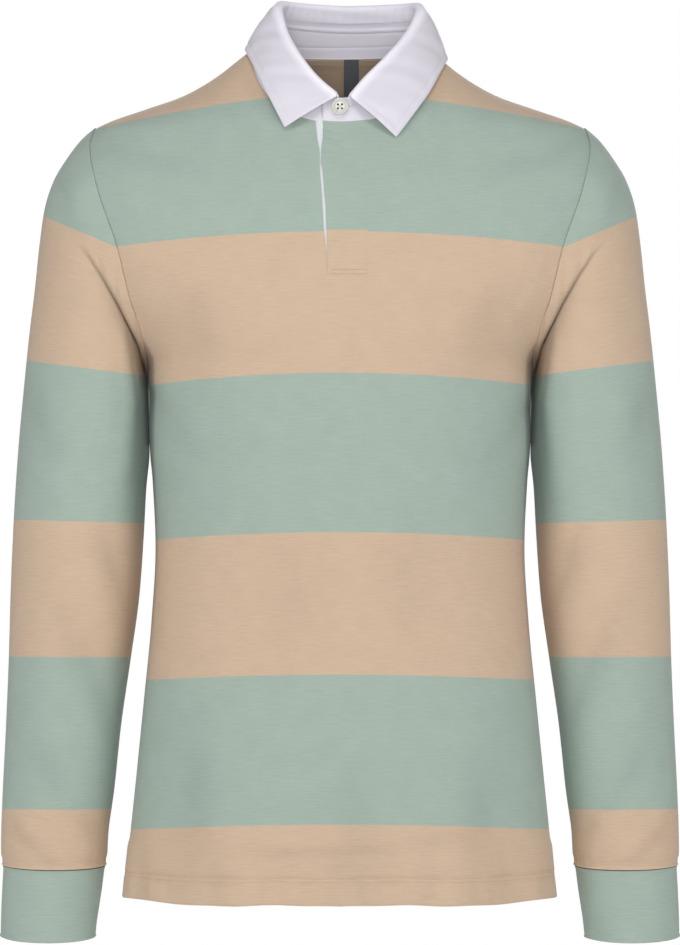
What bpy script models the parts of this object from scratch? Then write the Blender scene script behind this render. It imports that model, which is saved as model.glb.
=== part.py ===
"""Long-sleeve polo shirt, filled out as when worn, every cut piece its own cloth wall.

Axes: +X towards the wearer's left, -Y is the front, +Z up. Units are metres.
The origin is the middle of the neck, at the level of the high shoulder points.
"""

import math

import bmesh
import bpy
import numpy as np

# ---------------------------------------------------------------- driving sizes
CLOTH = 0.0016  # wall of the jersey and of the collar's twill
TRIM_CLOTH = 0.001  # wall of the neck tape and the label
SEAM_GAP = 0.0003  # between two pieces that are sewn edge to edge

BODY_LENGTH = 0.737  # high shoulder point to the front hem
HEM_CORNER_RISE = 0.006  # the hem's side corners stand this much higher
ARMPIT_LEVEL = -0.272
VENT_LEVEL = -0.682  # top of the open side vents
VENT_SPREAD = 0.004  # each edge of a vent draws back this far at the hem

NECK_HALF = 0.0755  # half the neck's width at the shoulder seams
SHOULDER_HALF = 0.2105
FRONT_NECK_DROP = 0.064
BACK_NECK_DROP = 0.007
NECK_ROUNDNESS = 2.2

PLACKET_RIGHT = 0.024  # sewn edge of the top placket
PLACKET_OPEN = -0.0135  # its free edge
PLACKET_BOTTOM = -0.196
PLACKET_SLIT_TOP = -0.0206  # the front's cut edge beside the under placket, at the neck
PLACKET_SLIT_BOTTOM = -0.0135
PLACKET_UNDER_REACH = 0.010  # the under placket's hidden edge
PLACKET_PROUD = 0.0010  # the top placket stands this much above the front
UNDER_SUNK = 0.00105  # the under placket lies this much below it
CUTTER_TOP = -0.02  # the slot's cutter stands clear of the front's neckline
CUTTER_FRONT = 0.16
CUTTER_DEPTH = 0.14

CUFF_JOIN = -0.7032  # where the sleeve meets the cuff
COLLAR_ROLL = 0.0027  # radius of the collar's fold
BUTTON_RADIUS = 0.0073
BUTTON_DEPTH = 0.0030
BUTTON_LEVEL = -0.0507
BUTTON_STAND_OFF = 0.0002  # its back lies this far in front of the neck seam
BUTTON_LEAN = 4.5  # degrees that its face looks upwards
BUTTON_HOLE_RADIUS = 0.0009
BUTTON_HOLE_PITCH = 0.0016  # from the middle to each hole, along both directions

LABEL_LEFT, LABEL_RIGHT = 0.0034, 0.0163
LABEL_LENGTH = 0.032
TAPE_WIDTH = 0.009
TAPE_INSET = 0.0006  # the tape's and the label's top edges start this far below the seam
TAPE_TURN = math.radians(56)  # the tape runs this far round from the back's middle
TAPE_STEPS = 10
TRIM_CLEAR = 0.0018  # the tape lies this far inside the back's inner face

# ---------------------------------------- finishes: linear colours and roughness
SAGE = (0.378, 0.473, 0.407)
BEIGE = (0.610, 0.456, 0.328)
COLLAR_WHITE = (0.72, 0.70, 0.77)
PLACKET_WHITE = (0.78, 0.77, 0.82)
TAPE_BEIGE = (0.55, 0.42, 0.30)
LABEL_GREY = (0.07, 0.075, 0.08)
BUTTON_CREAM = (0.80, 0.77, 0.70)
MATT, SATIN, GLOSSY = 0.9, 0.6, 0.35

# ------------------------------------------------------------------ mesh density
NECK_COLUMNS = 5  # columns of half a panel that end at the neckline
SHOULDER_COLUMNS = 7  # and those that end at the shoulder seam
LOWER_ROWS = 14
UPPER_ROWS = 12
DENSE = 400  # points of a fine curve before it is spaced evenly

# ------------------------------------------------------------------------ tables
# The body's level sections: half width, depth to the front and to the back.
TORSO_COLUMNS = ("level", "half_width", "front", "back", "squareness")
TORSO = (
    (-0.745, 0.1876, 0.105, 0.107, 2.50),
    (-0.700, 0.1830, 0.105, 0.107, 2.50),
    (-0.640, 0.1770, 0.104, 0.105, 2.50),
    (-0.560, 0.1690, 0.102, 0.097, 2.45),
    (-0.492, 0.1625, 0.102, 0.090, 2.45),
    (-0.430, 0.1591, 0.104, 0.088, 2.40),
    (-0.372, 0.1616, 0.109, 0.093, 2.40),
    (-0.348, 0.1638, 0.1114, 0.0968, 2.40),
    (-0.320, 0.1650, 0.114, 0.101, 2.40),
    (-0.272, 0.1655, 0.117, 0.109, 2.40),
    (-0.247, 0.1810, 0.118, 0.113, 2.40),
    (-0.213, 0.2120, 0.116, 0.116, 2.40),
    (-0.171, 0.2345, 0.110, 0.117, 2.40),
    (-0.117, 0.2435, 0.096, 0.113, 2.40),
    (-0.085, 0.2260, 0.082, 0.105, 2.40),
    (-0.0725, 0.2140, 0.0755, 0.101, 2.40),
    (-0.0685, 0.2105, 0.0733, 0.0995, 2.40),
    (-0.0619, 0.1960, 0.0700, 0.096, 2.40),
    (-0.0516, 0.1660, 0.0640, 0.091, 2.40),
    (-0.0413, 0.1367, 0.0580, 0.086, 2.40),
    (-0.0310, 0.1170, 0.0515, 0.081, 2.40),
    (-0.0206, 0.1015, 0.0450, 0.0755, 2.40),
    (-0.0103, 0.0886, 0.0370, 0.070, 2.40),
    (0.0, 0.0755, 0.0290, 0.065, 2.40),
)

# The armhole seam, from the armpit up to the shoulder point.
ARMHOLE_COLUMNS = ("level", "across")
ARMHOLE = (
    (-0.272, 0.1655),
    (-0.247, 0.1703),
    (-0.213, 0.1815),
    (-0.171, 0.1918),
    (-0.117, 0.2098),
    (-0.085, 0.2154),
    (-0.0725, 0.2127),
    (-0.0685, 0.2105),
)

# The sleeve's rings, each by its outermost and innermost point seen from the front.
# depth is half the ring from front to back; armhole_share is how much of the
# armhole's own outline the ring still has.
SLEEVE_COLUMNS = ("outer_x", "outer_z", "inner_x", "inner_z", "depth", "armhole_share")
SLEEVE = (
    (0.2105, -0.0685, 0.1660, -0.2720, 0.0760, 1.00),
    (0.2220, -0.0785, 0.1662, -0.2750, 0.0748, 0.86),
    (0.2356, -0.0963, 0.1662, -0.2785, 0.0730, 0.64),
    (0.2460, -0.1140, 0.1662, -0.2825, 0.0708, 0.42),
    (0.2537, -0.1376, 0.1662, -0.2880, 0.0680, 0.24),
    (0.2582, -0.1690, 0.1662, -0.2960, 0.0650, 0.11),
    (0.2623, -0.2080, 0.1660, -0.3085, 0.0622, 0.03),
    (0.2670, -0.2468, 0.1656, -0.3250, 0.0600, 0.0),
    (0.2718, -0.2940, 0.1652, -0.3480, 0.0582, 0.0),
    (0.2765, -0.3457, 0.1680, -0.3790, 0.0565, 0.0),
    (0.2804, -0.4060, 0.1702, -0.4200, 0.0548, 0.0),
    (0.2830, -0.4660, 0.1737, -0.4690, 0.0525, 0.0),
    (0.2847, -0.5260, 0.1815, -0.5260, 0.0485, 0.0),
    (0.2870, -0.5820, 0.1896, -0.5820, 0.0440, 0.0),
    (0.2898, -0.6380, 0.1956, -0.6380, 0.0390, 0.0),
    (0.2912, -0.6750, 0.2006, -0.6750, 0.0350, 0.0),
    (0.2914, -0.6930, 0.2016, -0.6930, 0.0328, 0.0),
    (0.2903, -0.7030, 0.2026, -0.7030, 0.0312, 0.0),
)
SLEEVE_END_DIP = 0.0045  # the sleeve's end hangs lower at the front by this much

# The fold that runs down the front of the sleeve into the armpit.
CREASE_COLUMNS = ("across", "level", "depth")
CREASE = (
    (0.2270, -0.1660, 0.0010),
    (0.2040, -0.1980, 0.0035),
    (0.1900, -0.2220, 0.0045),
    (0.1750, -0.2560, 0.0030),
)
CREASE_WIDTH = 0.011

CUFF_COLUMNS = ("level", "outer_x", "inner_x", "depth", "front_dip")
CUFF = (
    (-0.7036, 0.2888, 0.2042, 0.0296, 0.0045),
    (-0.7240, 0.2899, 0.2070, 0.0292, 0.0050),
    (-0.7440, 0.2908, 0.2099, 0.0287, 0.0055),
    (-0.7645, 0.2913, 0.2125, 0.0283, 0.0060),
)

# The collar's leaf, station by station from the wearer's right point round the back
# to the left point: the top of its fold, its lower edge, and how far the fold
# stands above the seam that joins the leaf to the stand.
COLLAR_COLUMNS = ("fold_x", "fold_y", "fold_z", "edge_x", "edge_y", "edge_z", "rise")
COLLAR = (
    (-0.0026, -0.0690, -0.0400, -0.0473, -0.0768, -0.0680, 0.0040),
    (-0.0180, -0.0625, -0.0270, -0.0570, -0.0690, -0.0490, 0.0060),
    (-0.0344, -0.0490, -0.0065, -0.0668, -0.0535, -0.0295, 0.0090),
    (-0.0464, -0.0270, 0.0160, -0.0752, -0.0320, -0.0125, 0.0115),
    (-0.0512, -0.0020, 0.0360, -0.0812, -0.0020, -0.0010, 0.0130),
    (-0.0470, 0.0270, 0.0400, -0.0760, 0.0400, -0.0030, 0.0135),
    (-0.0280, 0.0500, 0.0385, -0.0455, 0.0690, -0.0090, 0.0135),
    (0.0086, 0.0600, 0.0370, 0.0050, 0.0815, -0.0120, 0.0135),
    (0.0450, 0.0500, 0.0380, 0.0580, 0.0690, -0.0120, 0.0135),
    (0.0640, 0.0270, 0.0390, 0.0860, 0.0410, -0.0100, 0.0135),
    (0.0679, -0.0020, 0.0350, 0.0920, -0.0020, -0.0090, 0.0130),
    (0.0580, -0.0270, 0.0145, 0.0855, -0.0360, -0.0210, 0.0115),
    (0.0404, -0.0490, -0.0070, 0.0755, -0.0560, -0.0390, 0.0090),
    (0.0202, -0.0630, -0.0275, 0.0620, -0.0700, -0.0580, 0.0060),
    (0.0086, -0.0700, -0.0410, 0.0482, -0.0790, -0.0765, 0.0040),
)
COLLAR_STATIONS = 48
STAND_TOP_END = -0.0155  # the buttonhole end lies on top and reaches this far across
STAND_UNDER_END = 0.0130  # the button end reaches this far beneath it
STAND_TOP_GAP = 0.00075  # between the band's top edge and the leaf
STAND_SEAM_CLEAR = 0.0012  # the band's lower edge starts this far up and in from the neckline
STAND_ROWS = 4
UNDER_STEPS, OVER_STEPS, TUCK_STEPS = 3, 4, 5
TUCK_DEPTH = 0.00208  # the button end lies this much further in
LEAF_BELLY = 0.0022  # the leaf bows out between its fold and its edge by this much


# ------------------------------------------------------------- curves and sections
def columns_of(names, rows):
    """A table as one array for each named column."""
    return dict(zip(names, np.array(rows, float).T))


def smooth_curve(knots, values):
    """A smooth curve through a table's rows that doesn't swing past them."""
    steps = np.diff(knots)
    slopes = np.diff(values) / steps
    tangents = np.concatenate([slopes[:1], np.zeros(len(slopes) - 1), slopes[-1:]])
    for i in range(1, len(slopes)):
        if slopes[i - 1] * slopes[i] > 0:
            tangents[i] = 2 * slopes[i - 1] * slopes[i] / (slopes[i - 1] + slopes[i])

    def read(at):
        i = np.clip(np.searchsorted(knots, at) - 1, 0, len(steps) - 1)
        t = (at - knots[i]) / steps[i]
        return (
            values[i] * (1 + 2 * t) * (1 - t) ** 2
            + tangents[i] * steps[i] * t * (1 - t) ** 2
            + values[i + 1] * t * t * (3 - 2 * t)
            + tangents[i + 1] * steps[i] * t * t * (t - 1)
        )

    return read


def evenly(points, count, first=0.0, last=None):
    """count + 1 points at even distances along a fine polyline, between two lengths."""
    lengths = np.concatenate([[0], np.cumsum(np.linalg.norm(np.diff(points, axis=0), axis=1))])
    at = np.linspace(first, lengths[-1] if last is None else last, count + 1)
    return np.stack([np.interp(at, lengths, points[:, k]) for k in range(points.shape[1])], 1)


torso_table = columns_of(TORSO_COLUMNS, TORSO)
torso = {
    name: smooth_curve(torso_table["level"], torso_table[name]) for name in TORSO_COLUMNS[1:]
}
armhole_table = columns_of(ARMHOLE_COLUMNS, ARMHOLE)
armhole_across = smooth_curve(armhole_table["level"], armhole_table["across"])
shoulder_rows = torso_table["level"] >= ARMHOLE[-1][0]
shoulder_level = smooth_curve(
    torso_table["half_width"][shoulder_rows][::-1], torso_table["level"][shoulder_rows][::-1]
)


def depth_at(across, level, face):
    """How far the body's surface lies from the plane of the seams; face is front or back."""
    share = np.clip(np.abs(across) / torso["half_width"](level), 0, 1)
    n = torso["squareness"](level)
    return torso[face](level) * (1 - share**n) ** (1 / n)


def on_body(across, level, face):
    """Points of the front's or the back's outer surface, by their place seen from the front."""
    across, level = np.broadcast_arrays(across, level)
    side = -1 if face == "front" else 1
    return np.stack([across, side * depth_at(across, level, face), level], -1)


def level_section(level, face, edge_depth, count):
    """Half a section, from the centre line to the side seam, at even distances."""
    n = torso["squareness"](level)
    turn_end = math.asin((edge_depth / torso[face](level)) ** (n / 2))
    turn = np.linspace(math.pi / 2, turn_end, DENSE)
    side = -1 if face == "front" else 1
    across = torso["half_width"](level) * np.cos(turn) ** (2 / n)
    away = side * torso[face](level) * np.sin(turn) ** (2 / n)
    return evenly(np.stack([across, away, np.full(DENSE, level)], 1), count)


def neck_point(turn, face):
    """The neckline seen from the front; turn runs from 0 at the centre to a quarter turn."""
    drop = FRONT_NECK_DROP if face == "front" else BACK_NECK_DROP
    across = NECK_HALF * math.sin(turn) ** (2 / NECK_ROUNDNESS)
    level = -drop * max(math.cos(turn), 0.0) ** (2 / NECK_ROUNDNESS)
    return across, level


def upper_column(end, start_across, share, face):
    """A fine curve from the armpit's level up to a point of the neckline or shoulder."""
    up = np.sin(np.linspace(0, math.pi / 2, DENSE))
    level = ARMPIT_LEVEL + (end[1] - ARMPIT_LEVEL) * up
    across = start_across + (end[0] - start_across) * up
    arm_level = ARMPIT_LEVEL + (ARMHOLE[-1][0] - ARMPIT_LEVEL) * up
    straight = ARMHOLE[0][1] + (ARMHOLE[-1][1] - ARMHOLE[0][1]) * up
    across = across + (armhole_across(arm_level) - straight) * share**2
    return on_body(across, level, face)


def column_ends(face):
    """Where half a panel's columns end: along the neckline, then the shoulder seam."""
    quarter = math.pi / 2
    ends = [neck_point(quarter * k / NECK_COLUMNS, face) for k in range(NECK_COLUMNS)]
    for k in range(SHOULDER_COLUMNS + 1):
        across = NECK_HALF + (SHOULDER_HALF - NECK_HALF) * k / SHOULDER_COLUMNS
        ends.append((across, float(shoulder_level(across))))
    return ends


def half_panel(face):
    """Rows from the hem to the top edge, columns from the centre to side seam and armhole."""
    side = -1 if face == "front" else 1
    count = NECK_COLUMNS + SHOULDER_COLUMNS
    rows = []
    for r in range(LOWER_ROWS + 1):
        level = -BODY_LENGTH + (ARMPIT_LEVEL + BODY_LENGTH) * r / LOWER_ROWS
        vent = max(0.0, (VENT_LEVEL - level) / (VENT_LEVEL + BODY_LENGTH))
        row = level_section(level, face, SEAM_GAP / 2 + VENT_SPREAD * vent, count)
        lift = HEM_CORNER_RISE * (row[:, 0] / row[-1, 0]) ** 2
        row[:, 2] += lift * max(0.0, 1 - r / 3)
        rows.append(row)
    chest = rows[-1]
    ends = column_ends(face)
    upper = []
    for k in range(count + 1):
        fine = upper_column(ends[k], chest[k, 0], k / count, face)
        column = evenly(fine, UPPER_ROWS)
        if k >= NECK_COLUMNS:
            column[-1, 1] = side * SEAM_GAP / 2
        column[0] = chest[k]
        upper.append(column)
    upper = np.array(upper).transpose(1, 0, 2)[1:]
    grid = np.concatenate([np.array(rows), upper])
    grid[LOWER_ROWS:, -1, 0] -= SEAM_GAP / 2
    return grid


def whole_panel(face):
    """Both halves side by side, ordered so that its outer side faces out."""
    half = half_panel(face)
    mirrored = half[:, :0:-1] * (-1, 1, 1)
    grid = np.concatenate([mirrored, half], axis=1)
    return grid if face == "front" else grid[:, ::-1]


def unit(vectors):
    return vectors / np.linalg.norm(vectors, axis=-1, keepdims=True)


def grid_normals(grid, around=False):
    along = np.gradient(grid, axis=0)
    if around:
        across = np.roll(grid, -1, axis=1) - np.roll(grid, 1, axis=1)
    else:
        across = np.gradient(grid, axis=1)
    return unit(np.cross(across, along))


# ---------------------------------------------------------------- building blocks
def clear_scene():
    for obj in list(bpy.data.objects):
        bpy.data.objects.remove(obj, do_unlink=True)


def new_collection(name):
    collection = bpy.data.collections.new(name)
    bpy.context.scene.collection.children.link(collection)
    return collection


def finish_material(name, colour, roughness):
    material = bpy.data.materials.new(name)
    material.use_nodes = True
    shader = material.node_tree.nodes["Principled BSDF"]
    shader.inputs["Base Color"].default_value = (*colour, 1.0)
    shader.inputs["Roughness"].default_value = roughness
    shader.inputs["Metallic"].default_value = 0.0
    return material


def grid_faces(rows, columns, around):
    last = columns if around else columns - 1
    return [
        (
            r * columns + c,
            r * columns + (c + 1) % columns,
            (r + 1) * columns + (c + 1) % columns,
            (r + 1) * columns + c,
        )
        for r in range(rows - 1)
        for c in range(last)
    ]


def add_object(name, mesh, material, collection):
    obj = bpy.data.objects.new(name, mesh)
    obj.data.materials.append(material)
    collection.objects.link(obj)
    obj.data.shade_smooth()
    obj.data.set_sharp_from_angle(angle=math.radians(50))
    return obj


def sheet_object(name, grid, material, collection, thickness, around=False):
    """An open surface, thickened inwards by a Solidify modifier."""
    rows, columns = grid.shape[:2]
    mesh = bpy.data.meshes.new(name)
    mesh.from_pydata(grid.reshape(-1, 3).tolist(), [], grid_faces(rows, columns, around))
    obj = add_object(name, mesh, material, collection)
    wall = obj.modifiers.new("wall", "SOLIDIFY")
    wall.thickness = thickness
    wall.offset = -1.0
    wall.use_even_offset = True
    return obj


def wall_object(name, outer, inner, material, collection, around=False):
    """A closed wall between two grids, for pieces whose edges meet their neighbours'."""
    rows, columns = outer.shape[:2]
    mesh = bpy.data.meshes.new(name)
    points = np.concatenate([outer.reshape(-1, 3), inner.reshape(-1, 3)]).tolist()
    faces = grid_faces(rows, columns, around)
    below = rows * columns
    faces += [tuple(below + i for i in face[::-1]) for face in faces]
    border = [(c, c + 1) for c in range(columns - 1)]
    if around:
        border.append((columns - 1, 0))
    edges = list(border)
    edges += [((rows - 1) * columns + b, (rows - 1) * columns + a) for a, b in border]
    if not around:
        edges += [((r + 1) * columns, r * columns) for r in range(rows - 1)]
        last = columns - 1
        edges += [(r * columns + last, (r + 1) * columns + last) for r in range(rows - 1)]
    faces += [(b, a, below + a, below + b) for a, b in edges]
    mesh.from_pydata(points, [], faces)
    made = bmesh.new()
    made.from_mesh(mesh)
    bmesh.ops.recalc_face_normals(made, faces=made.faces)
    made.to_mesh(mesh)
    made.free()
    return add_object(name, mesh, material, collection)


# ------------------------------------------------------------------- body panels
def panel_walls():
    """Outer and inner grids of front and back; their edges share directions at seams."""
    walls = {}
    for face in ("front", "back"):
        outer = whole_panel(face)
        normals = grid_normals(outer)
        for column in (0, -1):
            normals[: LOWER_ROWS + 1, column, 1] = 0
        on_shoulder = np.abs(outer[-1, :, 0]) > NECK_HALF - 1e-6
        normals[-1, on_shoulder, 1] = 0
        walls[face] = (outer, unit(normals))
    return walls


def placket_cutter(collection):
    """The slot in the front that the two plackets fill."""
    outline = (
        (PLACKET_SLIT_TOP, CUTTER_TOP),
        (PLACKET_SLIT_TOP, -FRONT_NECK_DROP),
        (PLACKET_SLIT_BOTTOM, PLACKET_BOTTOM),
        (PLACKET_RIGHT, PLACKET_BOTTOM),
        (PLACKET_RIGHT, CUTTER_TOP),
    )
    made = bmesh.new()
    corners = [made.verts.new((x, -CUTTER_FRONT, z)) for x, z in outline]
    face = made.faces.new(corners)
    run = bmesh.ops.extrude_face_region(made, geom=[face])
    moved = [v for v in run["geom"] if isinstance(v, bmesh.types.BMVert)]
    bmesh.ops.translate(made, verts=moved, vec=(0, CUTTER_DEPTH, 0))
    bmesh.ops.recalc_face_normals(made, faces=made.faces)
    mesh = bpy.data.meshes.new("placket_slot")
    made.to_mesh(mesh)
    made.free()
    cutter = bpy.data.objects.new("placket_slot", mesh)
    cutter.hide_render = True
    cutter.display_type = "WIRE"
    collection.objects.link(cutter)
    return cutter


def cut(obj, cutter):
    modifier = obj.modifiers.new(cutter.name, "BOOLEAN")
    modifier.operation = "DIFFERENCE"
    modifier.solver = "EXACT"
    modifier.object = cutter


def neck_level_at(across):
    share = np.clip(np.abs(across) / NECK_HALF, 0, 1)
    return -FRONT_NECK_DROP * (1 - share**NECK_ROUNDNESS) ** (1 / NECK_ROUNDNESS)


def placket_grid(left_top, left_bottom, right, moved_out):
    """A strip made from the front's own points, moved out or in."""
    rows, columns = 9, 4
    grid = np.empty((rows, columns, 3))
    for r in range(rows):
        up = r / (rows - 1)
        left = left_bottom + (left_top - left_bottom) * up
        for c in range(columns):
            across = left + (right - left) * c / (columns - 1)
            top = neck_level_at(across) - 2 * SEAM_GAP
            bottom = PLACKET_BOTTOM + SEAM_GAP
            level = bottom + (top - bottom) * up
            grid[r, c] = on_body(across, level, "front")
    grid[:, :, 1] -= moved_out
    return grid


# ----------------------------------------------------------------------- sleeves
def edge_columns(side):
    """The front's and the back's column along the side seam and armhole of one side."""
    return (-1, 0) if side > 0 else (0, -1)


def armhole_loop(panels, side):
    """The armhole's points from the armpit up the front, over the shoulder, down the back."""
    column_front, column_back = edge_columns(side)
    front = panels["front"][0][LOWER_ROWS:, column_front]
    back = panels["back"][0][LOWER_ROWS:, column_back]
    front_normals = panels["front"][1][LOWER_ROWS:, column_front]
    back_normals = panels["back"][1][LOWER_ROWS:, column_back]
    loop = np.concatenate([front, back[-2:0:-1]])
    normals = np.concatenate([front_normals, back_normals[-2:0:-1]])
    loop[0, 1] = 0
    loop[UPPER_ROWS, 1] = 0
    return loop, normals


def ring(outer, inner, depth, turns, dip=0.0):
    """A ring through an outermost and an innermost point; turns run from inner to front."""
    middle = (np.array(outer) + np.array(inner)) / 2
    reach = (np.array(outer) - np.array(inner)) / 2
    points = np.empty((len(turns), 3))
    points[:, 0] = middle[0] - np.cos(turns) * reach[0]
    points[:, 1] = -np.sin(turns) * depth
    points[:, 2] = middle[1] - np.cos(turns) * reach[1] - np.sin(turns) * dip
    return points


def sleeve_turns(loop):
    """The angle of each point of the armhole loop, by its share of the seam's length."""
    closed = np.concatenate([loop, loop[:1]])
    lengths = np.concatenate([[0], np.cumsum(np.linalg.norm(np.diff(closed, axis=0), axis=1))])
    half = UPPER_ROWS
    front = lengths[: half + 1] / lengths[half]
    back = (lengths[half + 1 : -1] - lengths[half]) / (lengths[-1] - lengths[half])
    return np.concatenate([math.pi * front, math.pi * (1 + back)])


def crease_depth(points):
    """How far the armpit fold sinks each point of the sleeve's front and back."""
    crease = columns_of(CREASE_COLUMNS, CREASE)
    level_order = np.argsort(crease["level"])
    levels = crease["level"][level_order]
    across = np.interp(points[..., 2], levels, crease["across"][level_order])
    depth = np.interp(points[..., 2], levels, crease["depth"][level_order], left=0, right=0)
    away = np.abs(points[..., 0]) - across
    return depth * np.exp(-((away / CREASE_WIDTH) ** 2)) * (np.abs(points[..., 1]) > 0.02)


def sleeve_walls(loop, loop_normals, side):
    turns = sleeve_turns(loop)
    table = [dict(zip(SLEEVE_COLUMNS, row)) for row in SLEEVE]
    rings = []
    for row in table:
        outer = (side * row["outer_x"], row["outer_z"])
        inner = (side * row["inner_x"], row["inner_z"])
        dip = SLEEVE_END_DIP * max(0.0, 1 - (row["outer_z"] - CUFF_JOIN) / 0.2)
        rings.append(ring(outer, inner, row["depth"], turns, min(dip, SLEEVE_END_DIP)))
    own = loop + (side * SEAM_GAP, 0, 0)
    own[0, 0] += side * SEAM_GAP
    bend = own - rings[0]
    grid = np.array([r + bend * row["armhole_share"] for r, row in zip(rings, table)])
    grid[0] = own
    normals = grid_normals(grid, around=True) * side * -1
    grid = grid - normals * crease_depth(grid)[..., None]
    grid[0] = own
    normals = grid_normals(grid, around=True) * side * -1
    ridge = (normals[0] - loop_normals)[:, 0] * side > 0
    shared = unit(normals[0] + loop_normals)
    normals[0] = np.where(ridge[:, None], shared, normals[0])
    return grid, normals, np.where(ridge[:, None], shared, loop_normals)


def share_armhole_edges(panels, side, shared):
    """Gives the panels' armhole edges the directions that the sleeve's edge has."""
    column_front, column_back = edge_columns(side)
    panels["front"][1][LOWER_ROWS + 1 :, column_front] = shared[1 : UPPER_ROWS + 1]
    panels["back"][1][LOWER_ROWS + 1 :, column_back] = shared[: UPPER_ROWS - 1 : -1]


def cuff_grid(side):
    turns = np.linspace(0, 2 * math.pi, 2 * UPPER_ROWS, endpoint=False)
    rows = [dict(zip(CUFF_COLUMNS, row)) for row in CUFF]
    grid = np.array(
        [
            ring(
                (side * row["outer_x"], row["level"]),
                (side * row["inner_x"], row["level"]),
                row["depth"],
                turns,
                row["front_dip"],
            )
            for row in rows
        ]
    )
    return grid if side < 0 else grid[:, ::-1]


# ------------------------------------------------------------------------ collar
def neck_seam():
    """The neckline all round, from the front centre over the wearer's right side."""
    quarter = np.linspace(0, math.pi / 2, DENSE)
    front = np.array([on_body(*neck_point(t, "front"), "front") for t in quarter])
    back = np.array([on_body(*neck_point(t, "back"), "back") for t in quarter])
    half = np.concatenate([front, back[-2::-1]])
    return np.concatenate([half * (-1, 1, 1), half[-2::-1]])


def seam_below(points, seam):
    """The neck seam's point in the same direction from the neck's middle as each point."""
    bearing = np.unwrap(np.arctan2(-seam[:, 0], -seam[:, 1]))
    own = np.unwrap(np.arctan2(-points[:, 0], -points[:, 1]))
    own = own - 2 * math.pi * round((own[len(own) // 2] - math.pi) / (2 * math.pi))
    return np.stack([np.interp(own, bearing, seam[:, k]) for k in range(3)], 1)


def collar_stations():
    """The collar table's curves at evenly spaced stations along the fold."""
    table = columns_of(COLLAR_COLUMNS, COLLAR)
    rows = np.arange(len(COLLAR), dtype=float)
    fine = np.linspace(0, rows[-1], DENSE)
    curves = {name: smooth_curve(rows, table[name])(fine) for name in COLLAR_COLUMNS}
    fold = np.stack([curves[name] for name in ("fold_x", "fold_y", "fold_z")], 1)
    lengths = np.concatenate([[0], np.cumsum(np.linalg.norm(np.diff(fold, axis=0), axis=1))])
    at = np.linspace(0, lengths[-1], COLLAR_STATIONS + 1)
    return {name: np.interp(at, lengths, curves[name]) for name in COLLAR_COLUMNS}


def collar_frames(stations, seam):
    fold = np.stack([stations[name] for name in ("fold_x", "fold_y", "fold_z")], 1)
    below = seam_below(fold, seam)
    rise = unit(fold - below)
    along = unit(np.gradient(fold, axis=0))
    outward = unit(np.cross(rise, along))
    outward *= np.sign((outward[:, :2] * fold[:, :2]).sum(axis=1))[:, None]
    return fold, below, rise, outward


def beyond_front(curve, places_across):
    """Points past the open ends of a curve round the neck, in line with the neckline."""
    front = (curve[0] + curve[-1]) / 2
    middle = on_body(0.0, -FRONT_NECK_DROP, "front")
    along = on_body(places_across, neck_level_at(places_across), "front")
    points = along - middle + (0, front[1], front[2])
    return points


def stand_grid(stations, seam):
    """The band round the neck; its front ends run past each other, one over the other."""
    fold, below, rise, outward = collar_frames(stations, seam)
    top = fold - rise * stations["rise"][:, None] - rise * STAND_TOP_GAP
    bottom = below + (rise - outward) * STAND_SEAM_CLEAR
    under = np.linspace(STAND_UNDER_END, fold[0, 0], UNDER_STEPS + 1)[:-1]
    over = np.linspace(fold[-1, 0], STAND_TOP_END, OVER_STEPS + 1)[1:]
    top, bottom = [
        np.concatenate([beyond_front(curve, under), curve, beyond_front(curve, over)])
        for curve in (top, bottom)
    ]
    past = np.clip((np.arange(len(top)) - UNDER_STEPS + 1) / TUCK_STEPS, 0, 1)
    tuck = TUCK_DEPTH * (1 - past) ** 2
    under_out = np.tile(outward[0], (UNDER_STEPS, 1))
    over_out = np.tile(outward[-1], (OVER_STEPS, 1))
    out = np.concatenate([under_out, outward, over_out])
    shares = np.linspace(0, 1, STAND_ROWS)
    rows = [bottom + (top - bottom) * share - out * tuck[:, None] for share in shares]
    return np.array(rows)[:, ::-1]


def leaf_grid(stations, seam):
    """The leaf: up from the stand, over the fold and down to its free edge."""
    fold, _, rise, outward = collar_frames(stations, seam)
    edge = np.stack([stations[name] for name in ("edge_x", "edge_y", "edge_z")], 1)
    start = fold - rise * stations["rise"][:, None] - outward * CLOTH
    centre = fold - rise * COLLAR_ROLL + outward * (COLLAR_ROLL - CLOTH)
    rows = [start]
    for turn in np.radians((175, 130, 90, 50, 10)):
        rows.append(centre + COLLAR_ROLL * (outward * math.cos(turn) + rise * math.sin(turn)))
    last = rows[-1]
    for step in (0.2, 0.42, 0.66, 0.85, 1.0):
        belly = LEAF_BELLY * math.sin(math.pi * step)
        rows.append(last + (edge - last) * step + outward * belly)
    return np.array(rows)


# --------------------------------------------------------------- neck tape, label
def tape_grid():
    """A strip inside the back's top edge, made from the back's own points, moved in."""
    chest = level_section(ARMPIT_LEVEL, "back", SEAM_GAP / 2, NECK_COLUMNS + SHOULDER_COLUMNS)
    grid = []
    for k in range(-TAPE_STEPS, TAPE_STEPS + 1):
        turn = TAPE_TURN * abs(k) / TAPE_STEPS
        share = turn / (math.pi / 2) * NECK_COLUMNS / (NECK_COLUMNS + SHOULDER_COLUMNS)
        start = np.interp(share * (len(chest) - 1), np.arange(len(chest)), chest[:, 0])
        fine = upper_column(neck_point(turn, "back"), start, share, "back")[::-1]
        column = evenly(fine, 3, TAPE_INSET, TAPE_INSET + TAPE_WIDTH)
        column[:, 0] *= 1 if k >= 0 else -1
        grid.append(column[::-1])
    grid = np.array(grid).transpose(1, 0, 2)[:, ::-1]
    return grid - grid_normals(grid) * (CLOTH + TRIM_CLEAR)


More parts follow.
